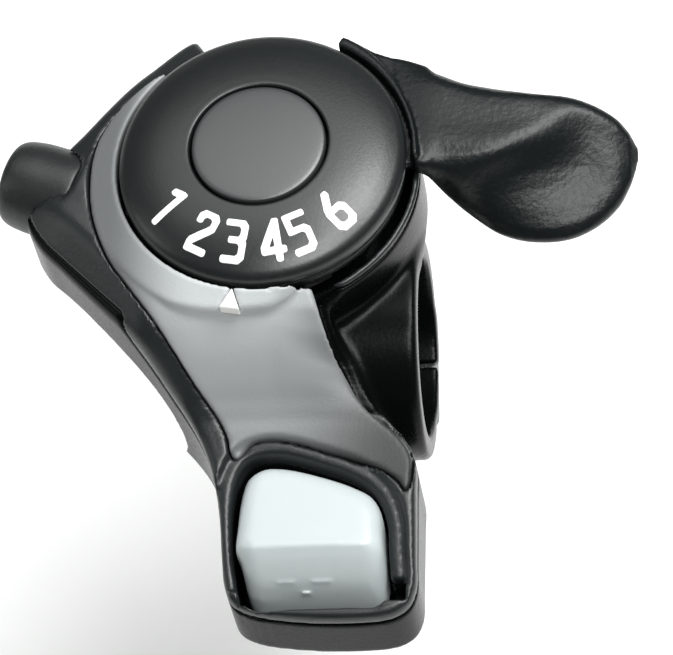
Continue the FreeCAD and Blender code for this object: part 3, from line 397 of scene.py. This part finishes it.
neck_r = spline([(-5.1, -2.9), (-4.95, -3.6), (-4.05, -6.5), (-3.3, -8.4), (-2.5, -9.9), (-1.6, -11.5), (-0.6, -13.2), (0.6, -14.6),
                 (2.3, -16.0), (4.3, -17.8), (5.5, -19.6), (6.6, -22.2), (8.0, -24.5)], 6, closed=False).tolist()
d_wall = sd_poly(X2, Y2, neck_r + [(30.0, -24.5), (30.0, -2.9)])[:, :, None]
LOW3 = smooth_line(Y2, CREST_Y, LOW_Z, 0.9)[:, :, None]
body = smax(body, -np.maximum(d_wall + 0.2 - 0.05 * (gz - LOW3), (LOW3 - gz) * 0.8), 0.35)
body = smax(body, -sweep, 0.25)
covered = smin(body, collar, 0.22)
print("TIME fields", time.time() - T_START, body.shape)

GAP = 0.08
cover_zone = dC
skin = T3 - 1.6
upper_all = smin(body, np.where(gz > 11, boss, 20), 1.0)
upper_all = np.maximum(upper_all, -well3)
upper_all = smax(upper_all, -pocket3, 0.4)
upper_all = np.maximum(upper_all, -shank)
upper_all = np.maximum(upper_all, -head_room)
above = (seam - gz) * 0.85
cut_cover = np.maximum(dC + 0.0, skin - gz)
upper = smax(upper_all, above + GAP, 0.35)
upper = smax(upper, -(np.maximum(dC - GAP, (skin - gz) / S3)), 0.15)
# keep the boss whole below the seam
upper = np.minimum(upper, np.maximum(np.maximum(np.maximum(boss, -shank), -head_room), np.maximum(gz - seam - 1, -well3)))
upper = np.maximum(upper, -well3)
o_upper = field_piece("upper_shell", upper, (gx, gy, gz))

cover = smax(np.maximum(covered, -well3), dC + GAP, 0.2)
cover = smax(cover, -pocket3, 0.3)
cover = smax(cover, (skin + 0.05 - gz) / S3, 0.2)
tip_a = math.radians(-99.6)
al = np.array([math.cos(tip_a), math.sin(tip_a)]); sd = np.array([-al[1], al[0]])
tipp = np.array([DX, DY]) + 18.0 * al
tri = np.array([tipp - al * 0.1, tipp + al * 2.55 + sd * 1.4, tipp + al * 2.55 - sd * 1.4])
d_tri = sd_poly(X2, Y2, tri)[:, :, None]
cover = np.maximum(cover, -np.maximum(d_tri, 22.5 - gz))
o_cover = field_piece("gray_cover", cover, (gx, gy, gz), least=1500)

ring = smax(Rbar - 14.0, np.abs(gx - 0.3) - 6.3, 1.0)
c18, s18 = math.cos(math.radians(18)), math.sin(math.radians(18))
ly = c18 * gy + s18 * gz
lz = -s18 * gy + c18 * gz
lug = smax(smax(np.abs(gx - 0.3) - 5.7, np.abs(ly) - 6.7, 1.6), smax(lz + 10.0, -20.9 - lz, 1.6), 1.2)
low = smax(body, -(above - GAP), 0.35)
low = np.maximum(low, -boss + 0.05)
low = np.maximum(low, -head_room)
ring_in = np.minimum(ring, lug)
low = smin(low, np.maximum(ring, -12.3 - gz), 1.6)
low = smin(low, lug, 1.5)
low = np.maximum(low, -well3)
low = np.maximum(low, -(R3 - WELL_R + np.where(gz > 13.5, 0, 50)))
low = smax(low, -pocket3, 0.4)
low = smax(low, 11.1 - np.where(np.abs(gx) < 7.6, Rbar, 30), 0.3)
low = np.maximum(low, 11.1 - Rbar)
low = np.maximum(low, -np.maximum(np.abs(ly) - 0.28, lz + 5))
low = np.maximum(low, -(np.maximum(np.sqrt(gx ** 2 + (lz + 17.4) ** 2) - 2.7, np.abs(ly) - 15)))
low = smax(low, -(np.maximum(np.sqrt(gx ** 2 + (lz + 17.4) ** 2) - 4.45, np.maximum(ly + 5.2, -ly - 20))), 0.3)
low = smax(low, -np.maximum(np.maximum(np.abs(gx) - 4.15, np.abs(lz + 17.4) - 4.15), 3.6 - ly), 0.3)
low = smax(low, -(np.maximum(np.hypot(gx - DX, gy - DY) - 4.1, gz - 14)), 0.2)
for q in ((-27.0, -0.6), (DX + 20 * math.cos(math.radians(138)), DY + 20 * math.sin(math.radians(138)))):
    low = smax(low, -(np.maximum(np.hypot(gx - q[0], gy - q[1]) - 1.8, gz - 14.2)), 0.2)
o_low = field_piece("lower_shell", low, (gx, gy, gz), least=1500)
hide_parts("upper_housing"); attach(o_upper, "frame")
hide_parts("indicator_cover"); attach(o_cover, "frame")
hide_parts("bracket"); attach(o_low, "frame")



# ------------------------------------------------------------------ lever
sections = [
    (16.0, [(14.3, 22.9), (12, 23.5), (6, 23.6), (0.6, 23.5), (-0.9, 23.1), (-1, 22.4), (0.4, 21.9), (6, 21.9), (12, 21.9), (14.0, 22.2)]),
    (16.9, [(14.2, 22.9), (12, 23.7), (6, 23.9), (0.6, 23.8), (-0.9, 23.3), (-1, 22.4), (0.4, 21.9), (6, 21.9), (12, 21.9), (13.8, 22.2)]),
    (19.4, [(13.1, 22.8), (11.4, 24.1), (5.8, 24.3), (0.8, 24.2), (-1.1, 23.4), (-1.3, 21.6), (0, 20.9), (5.6, 21), (11.4, 21.4), (12.9, 22)]),
    (21.5, [(12.3, 22.4), (10.6, 24.2), (5.4, 24.2), (0.8, 24), (-1.2, 22.6), (-1.8, 18), (-0.6, 16.6), (5, 17.6), (10.6, 20), (12.1, 21.2)]),
    (24, [(11.4, 21.8), (9.8, 23.9), (4.8, 24), (0.2, 23.6), (-2.2, 20.6), (-3.1, 15.4), (-1.6, 14), (4, 15), (9.4, 18), (11.2, 20)]),
    (27.5, [(10.8, 21.2), (9, 23.6), (4.6, 23.7), (0.6, 23.4), (-1.6, 20.2), (-5.4, 15), (-4.2, 12.7), (3.4, 13.4), (9.2, 16.6), (10.8, 19.2)]),
    (32, [(9.9, 20.8), (8.6, 23.2), (5.4, 23.3), (2.4, 22.9), (-0.3, 19.8), (-6.9, 14.6), (-5.4, 12.5), (3, 12.6), (8.6, 15.4), (9.9, 18.2)]),
    (38, [(9, 19.6), (8.4, 21.8), (6.8, 22.4), (4.6, 21.2), (0.8, 18.6), (-6.1, 14.8), (-5, 12.7), (2.4, 12.6), (7.6, 14.6), (9, 17)]),
    (42.5, [(7, 18.8), (6.4, 20.1), (5.2, 20.3), (3.4, 19.4), (0.4, 17.8), (-2.7, 15.4), (-2, 13.8), (1.6, 13.4), (5.2, 14.8), (6.8, 16.8)]),
    (45, [(4.6, 17.8), (4.2, 18.3), (3.5, 18.4), (2.6, 18), (1.5, 17.4), (0.9, 16.6), (1.3, 16.1), (2.5, 16), (3.8, 16.4), (4.5, 17.1)])]
sx = np.array([q[0] for q in sections])
sp_ = np.array([q[1] for q in sections])


def section_at(x):
    """Outline of the thumb pad at one distance from the lever axis."""
    i = int(np.clip(np.searchsorted(sx, x) - 1, 0, len(sx) - 2))
    t = (x - sx[i]) / (sx[i + 1] - sx[i])
    p0 = sp_[max(i - 1, 0)]; p1 = sp_[i]; p2 = sp_[i + 1]; p3 = sp_[min(i + 2, len(sx) - 1)]
    h0 = sx[i] - sx[max(i - 1, 0)] or 1.0; h1 = sx[i + 1] - sx[i]; h2 = sx[min(i + 2, len(sx) - 1)] - sx[i + 1] or 1.0
    m1 = 0.5 * ((p1 - p0) / h0 + (p2 - p1) / h1) * h1
    m2 = 0.5 * ((p2 - p1) / h1 + (p3 - p2) / h2) * h1
    a1, a2 = 2 * t**3 - 3 * t**2 + 1, t**3 - 2 * t**2 + t
    a3, a4 = -2 * t**3 + 3 * t**2, t**3 - t**2
    return spline((a1 * p1 + a2 * m1 + a3 * p2 + a4 * m2).tolist(), 4)


lx, ly_, lz_ = grid((-19.0, -19.0, 11.2), (46.6, 21.5, 26.6), H)
pad3 = np.full((lx.size, ly_.size, lz_.size), 20.0)
yy, zz = ly_[0, :, 0][:, None], lz_[0, 0, :][None, :]
for i, x in enumerate(lx.ravel()):
    if 15.6 <= x <= 46.2:
        xq = min(max(x, 16.0), 44.9)
        d = sd_poly(yy, zz, section_at(xq))
        if x > 44.0:
            d = d + max(0.0, x - 44.0) * 0.9
        pad3[i] = np.maximum(d, 15.9 - x)
lr = np.hypot(lx, ly_)
la = np.degrees(np.arctan2(ly_, lx))
web_plan = [(9.3, 17.9), (10.3, 17.7), (13.2, 15.75), (16.9, 14.2), (19.6, 13.2), (21.0, 9.0), (20.6, 4.0), (19.6, -0.6), (17.9, -0.7)] + \
           [(18.1 * math.cos(math.radians(a)), 18.1 * math.sin(math.radians(a))) for a in range(0, 63, 4)]
web2 = sd_poly(lx[:, :, 0], ly_[:, :, 0], web_plan)[:, :, None]
web = smax(web2, np.abs(lz_ - 22.75) - 0.8, 0.6)
lever = smin(pad3, web, 1.1)
# small cushion step on the pad's upper side
lever = smax(lever, 18.25 - lr, 0.3)
hub = np.maximum(np.maximum(lr - 17.2, 6.6 - lr), np.abs(lz_ - 22.5) - 0.8)
bridge = np.maximum(np.maximum(np.abs(lr - 17.9) - 1.2, np.abs(lz_ - 22.45) - 0.75), np.abs(la - 29) * 0.31 - 31 * 0.31)
rim_out = 18.85 + 0.75 * step(la, 20.0, 58.0)
rim = smax(np.abs(lr - 0.5 * (18.15 + rim_out)) - 0.5 * (rim_out - 18.15), lz_ - 25.15, 0.45)
rim = np.maximum(smax(rim, (np.abs(la - 30.0) - 31.5) * 0.32, 0.3), 21.75 - lz_)
lever = np.minimum(np.minimum(np.minimum(lever, hub), bridge), rim)
lever = np.maximum(lever, np.where(lz_ > 23.3, 18.0 - lr, -50))
o_lever = field_piece("thumb_lever", lever, (lx + DX, ly_ + DY, lz_), least=2000)
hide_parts("lever_arm")
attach(o_lever, "lever")

# ------------------------------------------------------------------ push button
bt_plan = spline([(-15.05, -28.5), (-15.1, -31.6), (-14.7, -32.3), (-14.35, -34.2), (-13.9, -35.7), (-12.6, -36.9), (-8.0, -37.15),
                  (-3.0, -37.3), (0.2, -37.35), (1.9, -36.6), (2.6, -34.6), (2.5, -29.6), (2.3, -27.0), (1.2, -24.8),
                  (-1.2, -23.3), (-4.8, -21.8), (-9.8, -20.2), (-12.2, -20.2), (-14.0, -21.6), (-14.7, -24.0)], 8)
qx, qy, qz = grid((-16.6, -38.8, -4.2), (4.4, -12.6, 11.4), 0.26)
bd = sd_poly(qx[:, :, 0], qy[:, :, 0], bt_plan)[:, :, None]
side_line = spline([(-19.0, 8.2), (-21.5, 9.1), (-25.0, 9.55), (-29.0, 9.85), (-31.2, 9.95), (-32.2, 9.75), (-33.0, 9.05),
                    (-34.4, 7.4), (-35.8, 5.4), (-36.9, 3.2), (-37.6, 0.2), (-37.6, -1.0)], 8, closed=False)
sy, sz = side_line[::-1, 0], side_line[::-1, 1]
tq = (np.interp(qy - 0.7, sy, sz) + 2 * np.interp(qy, sy, sz) + np.interp(qy + 0.7, sy, sz)) / 4
sl = np.sqrt(1 + np.clip(np.gradient(tq, axis=1) / 0.26, -2, 2) ** 2)
mid = 1 - np.clip(np.abs(qx + 6.3) / 9.0, 0, 1) ** 2
tq = tq + 0.35 * mid - 0.2 + 0.22 * np.exp(-((qy + 31.9) / 0.42) ** 2) * step(qx, -14.0, -12.6) * (1 - step(qx, 0.4, 1.8))
btn = smax(bd + 0.02, (qz - tq) / sl, 2.6)
inner = np.maximum(np.maximum(bd + 1.5, qz - tq + 1.6), -36.0 - qy)
btn = np.maximum(btn, -np.maximum(bd + 1.5, qz - tq + 1.7))
btn = np.maximum(btn, -0.1 + 0 * qz - qz - 0.104 * (qy + 37.2) * -1.0 - 0.1)
# fine moulded marks on the lower face
for cx, cy, w_, t_ in ((-9.2, -35.1, 1.1, 0.12), (-4.9, -35.15, 1.1, 0.12), (-6.9, -35.95, 0.5, 0.12)):
    bar = np.maximum(np.abs(qx - cx) - w_, np.abs(qy - cy) - t_)
    btn = np.minimum(btn, smax(np.maximum(bar, (qz - tq) / sl - 0.14), (tq - 1.0) - qz, 0.1))
hr = np.hypot(qy + 17.6, qz + 1.0)
hinge_bar = np.maximum(hr - 2.05, np.abs(qx + 6.1) - 6.8)
web_b = np.maximum(np.maximum(np.abs(qz + 0.6 + 0.15 * (qy + 20)) - 1.1, np.abs(qy + 20.0) - 2.4), np.abs(qx + 6.1) - 6.8)
arm_b = np.maximum(np.maximum(np.abs(qx + 11.5) - 2.1, sd_poly(qy[0, :, 0][:, None], qz[0, 0, :][None, :],
        [(-21.8, 0.6), (-21.8, -2.0), (-17.6, -3.1), (-15.5, -1.0), (-15.4, 4.2), (-13.9, 5.3), (-13.9, 6.15), (-16.0, 6.15), (-17.6, 4.6), (-18.2, 1.4)])[None]), -50)
peg_b = np.maximum(np.hypot(qx + 11.5, qy + 14.9) - 0.66, np.maximum(5.6 - qz, qz - 8.5))
btn = np.minimum(np.minimum(np.minimum(np.minimum(btn, hinge_bar), web_b), arm_b), peg_b)
btn = np.maximum(btn, 1.05 - hr)
o_btn = field_piece("push_button", btn, (qx, qy, qz), least=800)
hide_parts("release_button")
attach(o_btn, "button")

# ------------------------------------------------------------------ dial, cap, barrel
dial_curve = spline([(17.25, 23.75), (17.45, 24.0), (17.5, 24.6), (17.45, 25.05), (17.2, 25.55), (16.75, 25.98), (16.1, 26.35),
                     (15.0, 26.85), (13.5, 27.35), (12.0, 27.72), (10.3, 28.03), (8.95, 28.2)], 6, closed=False).tolist()
dial_curve += [(8.7, 28.21), (8.52, 28.12), (8.45, 27.9), (8.45, 26.5), (9.2, 26.4), (14.6, 25.2), (16.2, 24.2), (16.5, 23.65), (17.1, 23.65)]
o_dial = lathe("dial", dial_curve, (DX, DY, 0), steps=192, closed=True)
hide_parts("indicator_dial")
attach(o_dial, "lever")
cap_curve = [(0.001, 26.45), (8.1, 26.45), (8.13, 27.95)] + spline([(8.1, 28.12), (8.0, 28.3), (7.75, 28.42), (7.2, 28.52),
            (5.5, 28.68), (3.0, 28.82), (1.2, 28.87), (0.001, 28.88)], 5, closed=False).tolist()
o_cap = lathe("cap", cap_curve, (DX, DY, 0), steps=160)
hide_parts("centre_cap")
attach(o_cap, "lever")


def dome(r):
    prof = np.array(dial_curve[:61])
    o = np.argsort(prof[:, 0])
    return np.interp(r, prof[o, 0], prof[o, 1])


strokes = {
    "1": [[(-0.85, 1.75), (0.25, 2.25), (0.25, -2.25)]],
    "2": [[(-1.0, 1.35), (-1.0, 1.8), (-0.6, 2.25), (0.6, 2.25), (1.0, 1.8), (1.0, 0.75), (0.6, 0.25), (-0.9, -1.35), (-1.0, -1.7), (-1.0, -2.25), (1.1, -2.25)]],
    "3": [[(-1.0, 2.25), (0.6, 2.25), (1.0, 1.8), (1.0, 0.55), (0.65, 0.1), (-0.4, 0.1)], [(0.65, 0.1), (1.05, -0.35), (1.05, -1.8), (0.6, -2.25), (-1.05, -2.25)]],
    "4": [[(0.55, -2.25), (0.55, 2.25), (-1.15, -0.95), (-1.15, -1.3), (1.15, -1.3)]],
    "5": [[(1.0, 2.25), (-0.95, 2.25), (-0.95, 0.35), (0.6, 0.35), (1.05, -0.1), (1.05, -1.8), (0.6, -2.25), (-1.05, -2.25)]],
    "6": [[(0.35, 2.25), (-0.85, 0.45), (-1.05, -0.1), (-1.05, -1.8), (-0.6, -2.25), (0.6, -2.25), (1.05, -1.8), (1.05, -0.35), (0.6, 0.1), (-0.6, 0.1)]]}
places = {"1": -143.9, "2": -119.0, "3": -100.8, "4": -81.0, "5": -66.6, "6": -44.2}
numerals = []
for ch, ang_d in places.items():
    ux, uy, uz = grid((-1.9, -3.1, -0.24), (1.9, 3.1, 0.24), 0.08)
    d = np.full((ux.size, uy.size, 1), 9.0)
    for line in strokes[ch]:
        for p, q in zip(line[:-1], line[1:]):
            p, q = np.array(p), np.array(q)
            e = q - p
            wx, wy = ux - p[0], uy - p[1]
            t = np.clip((wx * e[0] + wy * e[1]) / max(e @ e, 1e-9), 0, 1)
            # square-cornered stroke ends
            d = np.minimum(d, (np.abs(wx - t * e[0]) ** 3 + np.abs(wy - t * e[1]) ** 3) ** (1 / 3.0) - 0.46)
    v, f = nets(np.maximum(d + 0 * uz, np.abs(uz - 0.02) - 0.07), ux, uy, uz, smooth=1)
    a = math.radians(ang_d)
    rad = np.array([math.cos(a), math.sin(a)])
    upv, rtv = -rad, np.array([-math.sin(a), math.cos(a)])
    base = rad * 13.25
    xy = base + v[:, :1] * rtv * 0.98 + v[:, 1:2] * upv * 0.97
    z = dome(np.hypot(xy[:, 0], xy[:, 1])) + v[:, 2]
    o_ch = add_mesh("numeral_" + ch, np.column_stack([xy[:, 0] + DX, xy[:, 1] + DY, z]), f)
    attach(o_ch, "lever")
    numerals.append(o_ch)

# pointer: raised wedge beside the dial
wx_, wy_, wz_ = grid((-17.2, -8.6, 22.0), (-12.2, -4.0, 25.4), 0.12)
tri_in = np.array([tipp + al * 0.1, tipp + al * 2.46 + sd * 1.27, tipp + al * 2.46 - sd * 1.27])
dt = sd_poly(wx_[:, :, 0], wy_[:, :, 0], tri_in)[:, :, None]
rr_ = np.hypot(wx_ - DX, wy_ - DY)
ptr = smax(smax(dt, wz_ - (24.98 - 0.38 * (rr_ - 18.0)), 0.2), 22.55 - wz_, 0.1)
o_ptr = field_piece("pointer", ptr, (wx_, wy_, wz_), least=50)
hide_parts("index_pointer")
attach(o_ptr, "frame")

ux = barrel_dir
barrel_curve = [(1.12, -7.4), (2.6, -7.45), (2.95, -7.1), (2.98, -3.75)] + spline([(5.2, -3.73), (5.55, -3.6), (5.7, -3.2), (5.72, 0.0), (5.72, 2.2),
               (5.64, 3.2), (5.5, 4.2), (5.3, 4.95), (4.98, 5.5), (4.5, 5.8), (4.0, 5.88)], 5, closed=False).tolist() + \
               [(2.8, 5.88), (2.6, 5.7), (2.56, 1.25), (1.87, 1.22), (1.87, 0.25), (1.12, 0.22)]
o_bar = lathe("barrel", barrel_curve, tuple(root), axis=tuple(ux), steps=128, closed=True)
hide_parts("adjuster_barrel")
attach(o_bar, "adjuster")
print("TIME pieces", time.time() - T_START)


# ------------------------------------------------------------------ materials
def material(name, base, rough, metallic=0.0, spec=0.5, grain=0.0, grain_scale=900.0, mottle=0.06, bump=0.0,
             coat=0.0, sss=0.0, wear=0.0, rough_var=0.06):
    m = bpy.data.materials.new(name)
    m.use_nodes = True
    nt = m.node_tree
    b = nt.nodes["Principled BSDF"]
    b.inputs["Metallic"].default_value = metallic
    b.inputs["Specular IOR Level"].default_value = spec
    if coat:
        b.inputs["Coat Weight"].default_value = coat
        b.inputs["Coat Roughness"].default_value = 0.25
    tc = nt.nodes.new("ShaderNodeTexCoord")
    big = nt.nodes.new("ShaderNodeTexNoise")
    big.inputs["Scale"].default_value = 60.0
    big.inputs["Detail"].default_value = 5.0
    nt.links.new(tc.outputs["Object"], big.inputs["Vector"])
    ramp = nt.nodes.new("ShaderNodeMix")
    ramp.data_type = "RGBA"
    c1 = [c * (1 - mottle) for c in base] + [1]
    c2 = [min(1, c * (1 + mottle)) for c in base] + [1]
    ramp.inputs["A"].default_value = c1
    ramp.inputs["B"].default_value = c2
    nt.links.new(big.outputs["Fac"], ramp.inputs["Factor"])
    color = ramp.outputs["Result"]
    if wear:
        geo = nt.nodes.new("ShaderNodeNewGeometry")
        wr = nt.nodes.new("ShaderNodeMapRange")
        wr.inputs["From Min"].default_value = 0.52
        wr.inputs["From Max"].default_value = 0.62
        nt.links.new(geo.outputs["Pointiness"], wr.inputs["Value"])
        mul = nt.nodes.new("ShaderNodeMath")
        mul.operation = "MULTIPLY"
        mul.inputs[1].default_value = wear
        nt.links.new(wr.outputs["Result"], mul.inputs[0])
        mx = nt.nodes.new("ShaderNodeMix")
        mx.data_type = "RGBA"
        nt.links.new(mul.outputs[0], mx.inputs["Factor"])
        nt.links.new(color, mx.inputs["A"])
        mx.inputs["B"].default_value = [min(1, c * 2.2 + 0.03) for c in base] + [1]
        color = mx.outputs["Result"]
    nt.links.new(color, b.inputs["Base Color"])
    fine = nt.nodes.new("ShaderNodeTexNoise")
    fine.inputs["Scale"].default_value = grain_scale
    fine.inputs["Detail"].default_value = 3.0
    nt.links.new(tc.outputs["Object"], fine.inputs["Vector"])
    rr = nt.nodes.new("ShaderNodeMapRange")
    rr.inputs["To Min"].default_value = max(0.02, rough - rough_var)
    rr.inputs["To Max"].default_value = min(1.0, rough + rough_var)
    nt.links.new(fine.outputs["Fac"], rr.inputs["Value"])
    nt.links.new(rr.outputs["Result"], b.inputs["Roughness"])
    if bump:
        bp_ = nt.nodes.new("ShaderNodeBump")
        bp_.inputs["Strength"].default_value = bump
        bp_.inputs["Distance"].default_value = 0.00012
        nt.links.new(fine.outputs["Fac"], bp_.inputs["Height"])
        nt.links.new(bp_.outputs["Normal"], b.inputs["Normal"])
    if sss:
        b.inputs["Subsurface Weight"].default_value = sss
        b.inputs["Subsurface Radius"].default_value = (0.8, 0.9, 1.0)
        b.inputs["Subsurface Scale"].default_value = 0.002
    return m


m_house = material("housing_plastic", (0.010, 0.013, 0.013), 0.38, spec=0.5, bump=0.25, grain_scale=2200, mottle=0.12)
m_cover = material("cover_paint", (0.45, 0.475, 0.475), 0.5, metallic=0.15, spec=0.4, bump=0.18, grain_scale=2600, mottle=0.05)
# cap: its base colour is lighter than the dial's, a painted sheen standing in for the light its flat top reflects
m_cap_painted_sheen = material("cap_plastic_painted_sheen", (0.03, 0.034, 0.034), 0.42, spec=0.9, bump=0.1, grain_scale=2600, mottle=0.1)
# lower shell: glossy black plastic, with its base made darker than the housing's as painted shade for its shadowed
# right side
m_bracket_black_and_shade = material("bracket_plastic_black_and_shade", (0.002, 0.0025, 0.0025), 0.28, spec=0.1, bump=0.15, grain_scale=2200, mottle=0.15)
m_dial = material("dial_plastic", (0.008, 0.010, 0.010), 0.36, spec=0.6, bump=0.1, grain_scale=2600, mottle=0.1)
m_lever = material("lever_plastic", (0.004, 0.006, 0.006), 0.36, spec=0.3, bump=0.55, grain_scale=1500, mottle=0.15)
m_button = material("button_plastic", (0.46, 0.505, 0.505), 0.34, bump=0.05, grain_scale=600, mottle=0.02, sss=0.6)

# the cover's colour is darker towards the tail, towards its right edge and towards its far left end
nt = m_cover.node_tree
tc = nt.nodes.new("ShaderNodeTexCoord")
xyz = nt.nodes.new("ShaderNodeSeparateXYZ")
nt.links.new(tc.outputs["Object"], xyz.inputs[0])
fades = []
for axis, lo, hi, v0, v1 in (("Y", -0.020, -0.006, 0.34, 1.0), ("X", -0.012, 0.004, 1.0, 0.18), ("X", -0.030, -0.018, 0.30, 1.0)):
    mr = nt.nodes.new("ShaderNodeMapRange")
    mr.interpolation_type = "SMOOTHSTEP"
    mr.inputs["From Min"].default_value = lo
    mr.inputs["From Max"].default_value = hi
    mr.inputs["To Min"].default_value = v0
    mr.inputs["To Max"].default_value = v1
    nt.links.new(xyz.outputs[axis], mr.inputs["Value"])
    fades.append(mr)
both = nt.nodes.new("ShaderNodeMath")
both.operation = "MULTIPLY"
nt.links.new(fades[0].outputs["Result"], both.inputs[0])
nt.links.new(fades[1].outputs["Result"], both.inputs[1])
all3 = nt.nodes.new("ShaderNodeMath")
all3.operation = "MULTIPLY"
nt.links.new(both.outputs[0], all3.inputs[0])
nt.links.new(fades[2].outputs["Result"], all3.inputs[1])
tint = nt.nodes.new("ShaderNodeMix")
tint.data_type = "RGBA"
tint.inputs["A"].default_value = (0.0, 0.0, 0.0, 1)
shader = nt.nodes["Principled BSDF"]
was = shader.inputs["Base Color"].links[0].from_socket
nt.links.new(all3.outputs[0], tint.inputs["Factor"])
nt.links.new(was, tint.inputs["B"])
nt.links.new(tint.outputs["Result"], shader.inputs["Base Color"])
m_white = material("white_mark", (0.85, 0.85, 0.83), 0.5, bump=0.1, mottle=0.03)
m_nylon = material("nylon", (0.55, 0.55, 0.50), 0.5, bump=0.2, mottle=0.05)
m_steel = material("steel", (0.45, 0.45, 0.46), 0.32, metallic=1.0, bump=0.15, grain_scale=1800, mottle=0.08)
m_black = material("black_steel", (0.03, 0.03, 0.03), 0.4, metallic=0.6, bump=0.2, mottle=0.1)
m_barrel = material("barrel_plastic", (0.012, 0.014, 0.014), 0.42, bump=0.3, grain_scale=1800, mottle=0.1)
by_slot = {"housing_plastic": m_house, "cover_plastic": m_cover, "dial_plastic": m_dial, "lever_plastic": m_lever,
           "button_plastic": m_button, "white_mark": m_white, "nylon": m_nylon, "steel": m_steel,
           "black_steel": m_black, "barrel_plastic": m_barrel}
for sp in frame["record"]["subparts"]:
    ob = frame["nodes"][sp["node"]]
    for s_ in ob.material_slots:
        s_.link = "OBJECT"
        s_.material = by_slot[sp["material_slot"]]


def paint(ob, m):
    ob.data.materials.append(m)


paint(o_upper, m_house)
paint(o_low, m_bracket_black_and_shade)
paint(o_cover, m_cover)
paint(o_lever, m_lever)
paint(o_btn, m_button)
paint(o_dial, m_dial)
paint(o_cap, m_cap_painted_sheen)
paint(o_ptr, m_white)
paint(o_bar, m_barrel)
for o_ in numerals:
    paint(o_, m_white)

# ------------------------------------------------------------------ floor and light
w = bpy.data.worlds.new("world")
bpy.context.scene.world = w
w.use_nodes = True
w.node_tree.nodes["Background"].inputs["Color"].default_value = (1, 1, 1, 1)
w.node_tree.nodes["Background"].inputs["Strength"].default_value = 0.05
bpy.context.scene.view_settings.view_transform = "Standard"
bpy.ops.mesh.primitive_plane_add(size=6.0, location=(0, 0, -0.075))
floor = bpy.context.object
floor.name = "floor"
fm = bpy.data.materials.new("floor")
fm.use_nodes = True
fb = fm.node_tree.nodes["Principled BSDF"]
fb.inputs["Base Color"].default_value = (0.95, 0.96, 0.95, 1)
fb.inputs["Roughness"].default_value = 0.9
fb.inputs["Specular IOR Level"].default_value = 0.1
floor.data.materials.append(fm)


def area(name, pos, aim, size, power):
    l = bpy.data.lights.new(name, "AREA")
    l.energy = power
    l.shape = "RECTANGLE"
    l.size, l.size_y = size
    o = bpy.data.objects.new(name, l)
    o.location = pos
    d = Vector(aim) - Vector(pos)
    o.rotation_euler = d.to_track_quat("-Z", "Y").to_euler()
    bpy.context.scene.collection.objects.link(o)
    return o


area("key", (0.30, 0.12, 0.60), (-0.005, 0.0, 0.02), (0.34, 0.34), 4.6)
area("front", (0.19, -0.25, 0.72), (-0.01, 0.0, 0.02), (0.34, 0.24), 3.8)
area("left", (-0.62, -0.05, 0.30), (-0.02, 0.0, 0.01), (0.22, 0.40), 0.5)
area("fill", (0.0, 0.45, 0.95), (0, 0, 0), (1.3, 0.7), 6.2)

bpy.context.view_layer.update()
print("TIME end", time.time() - T_START)
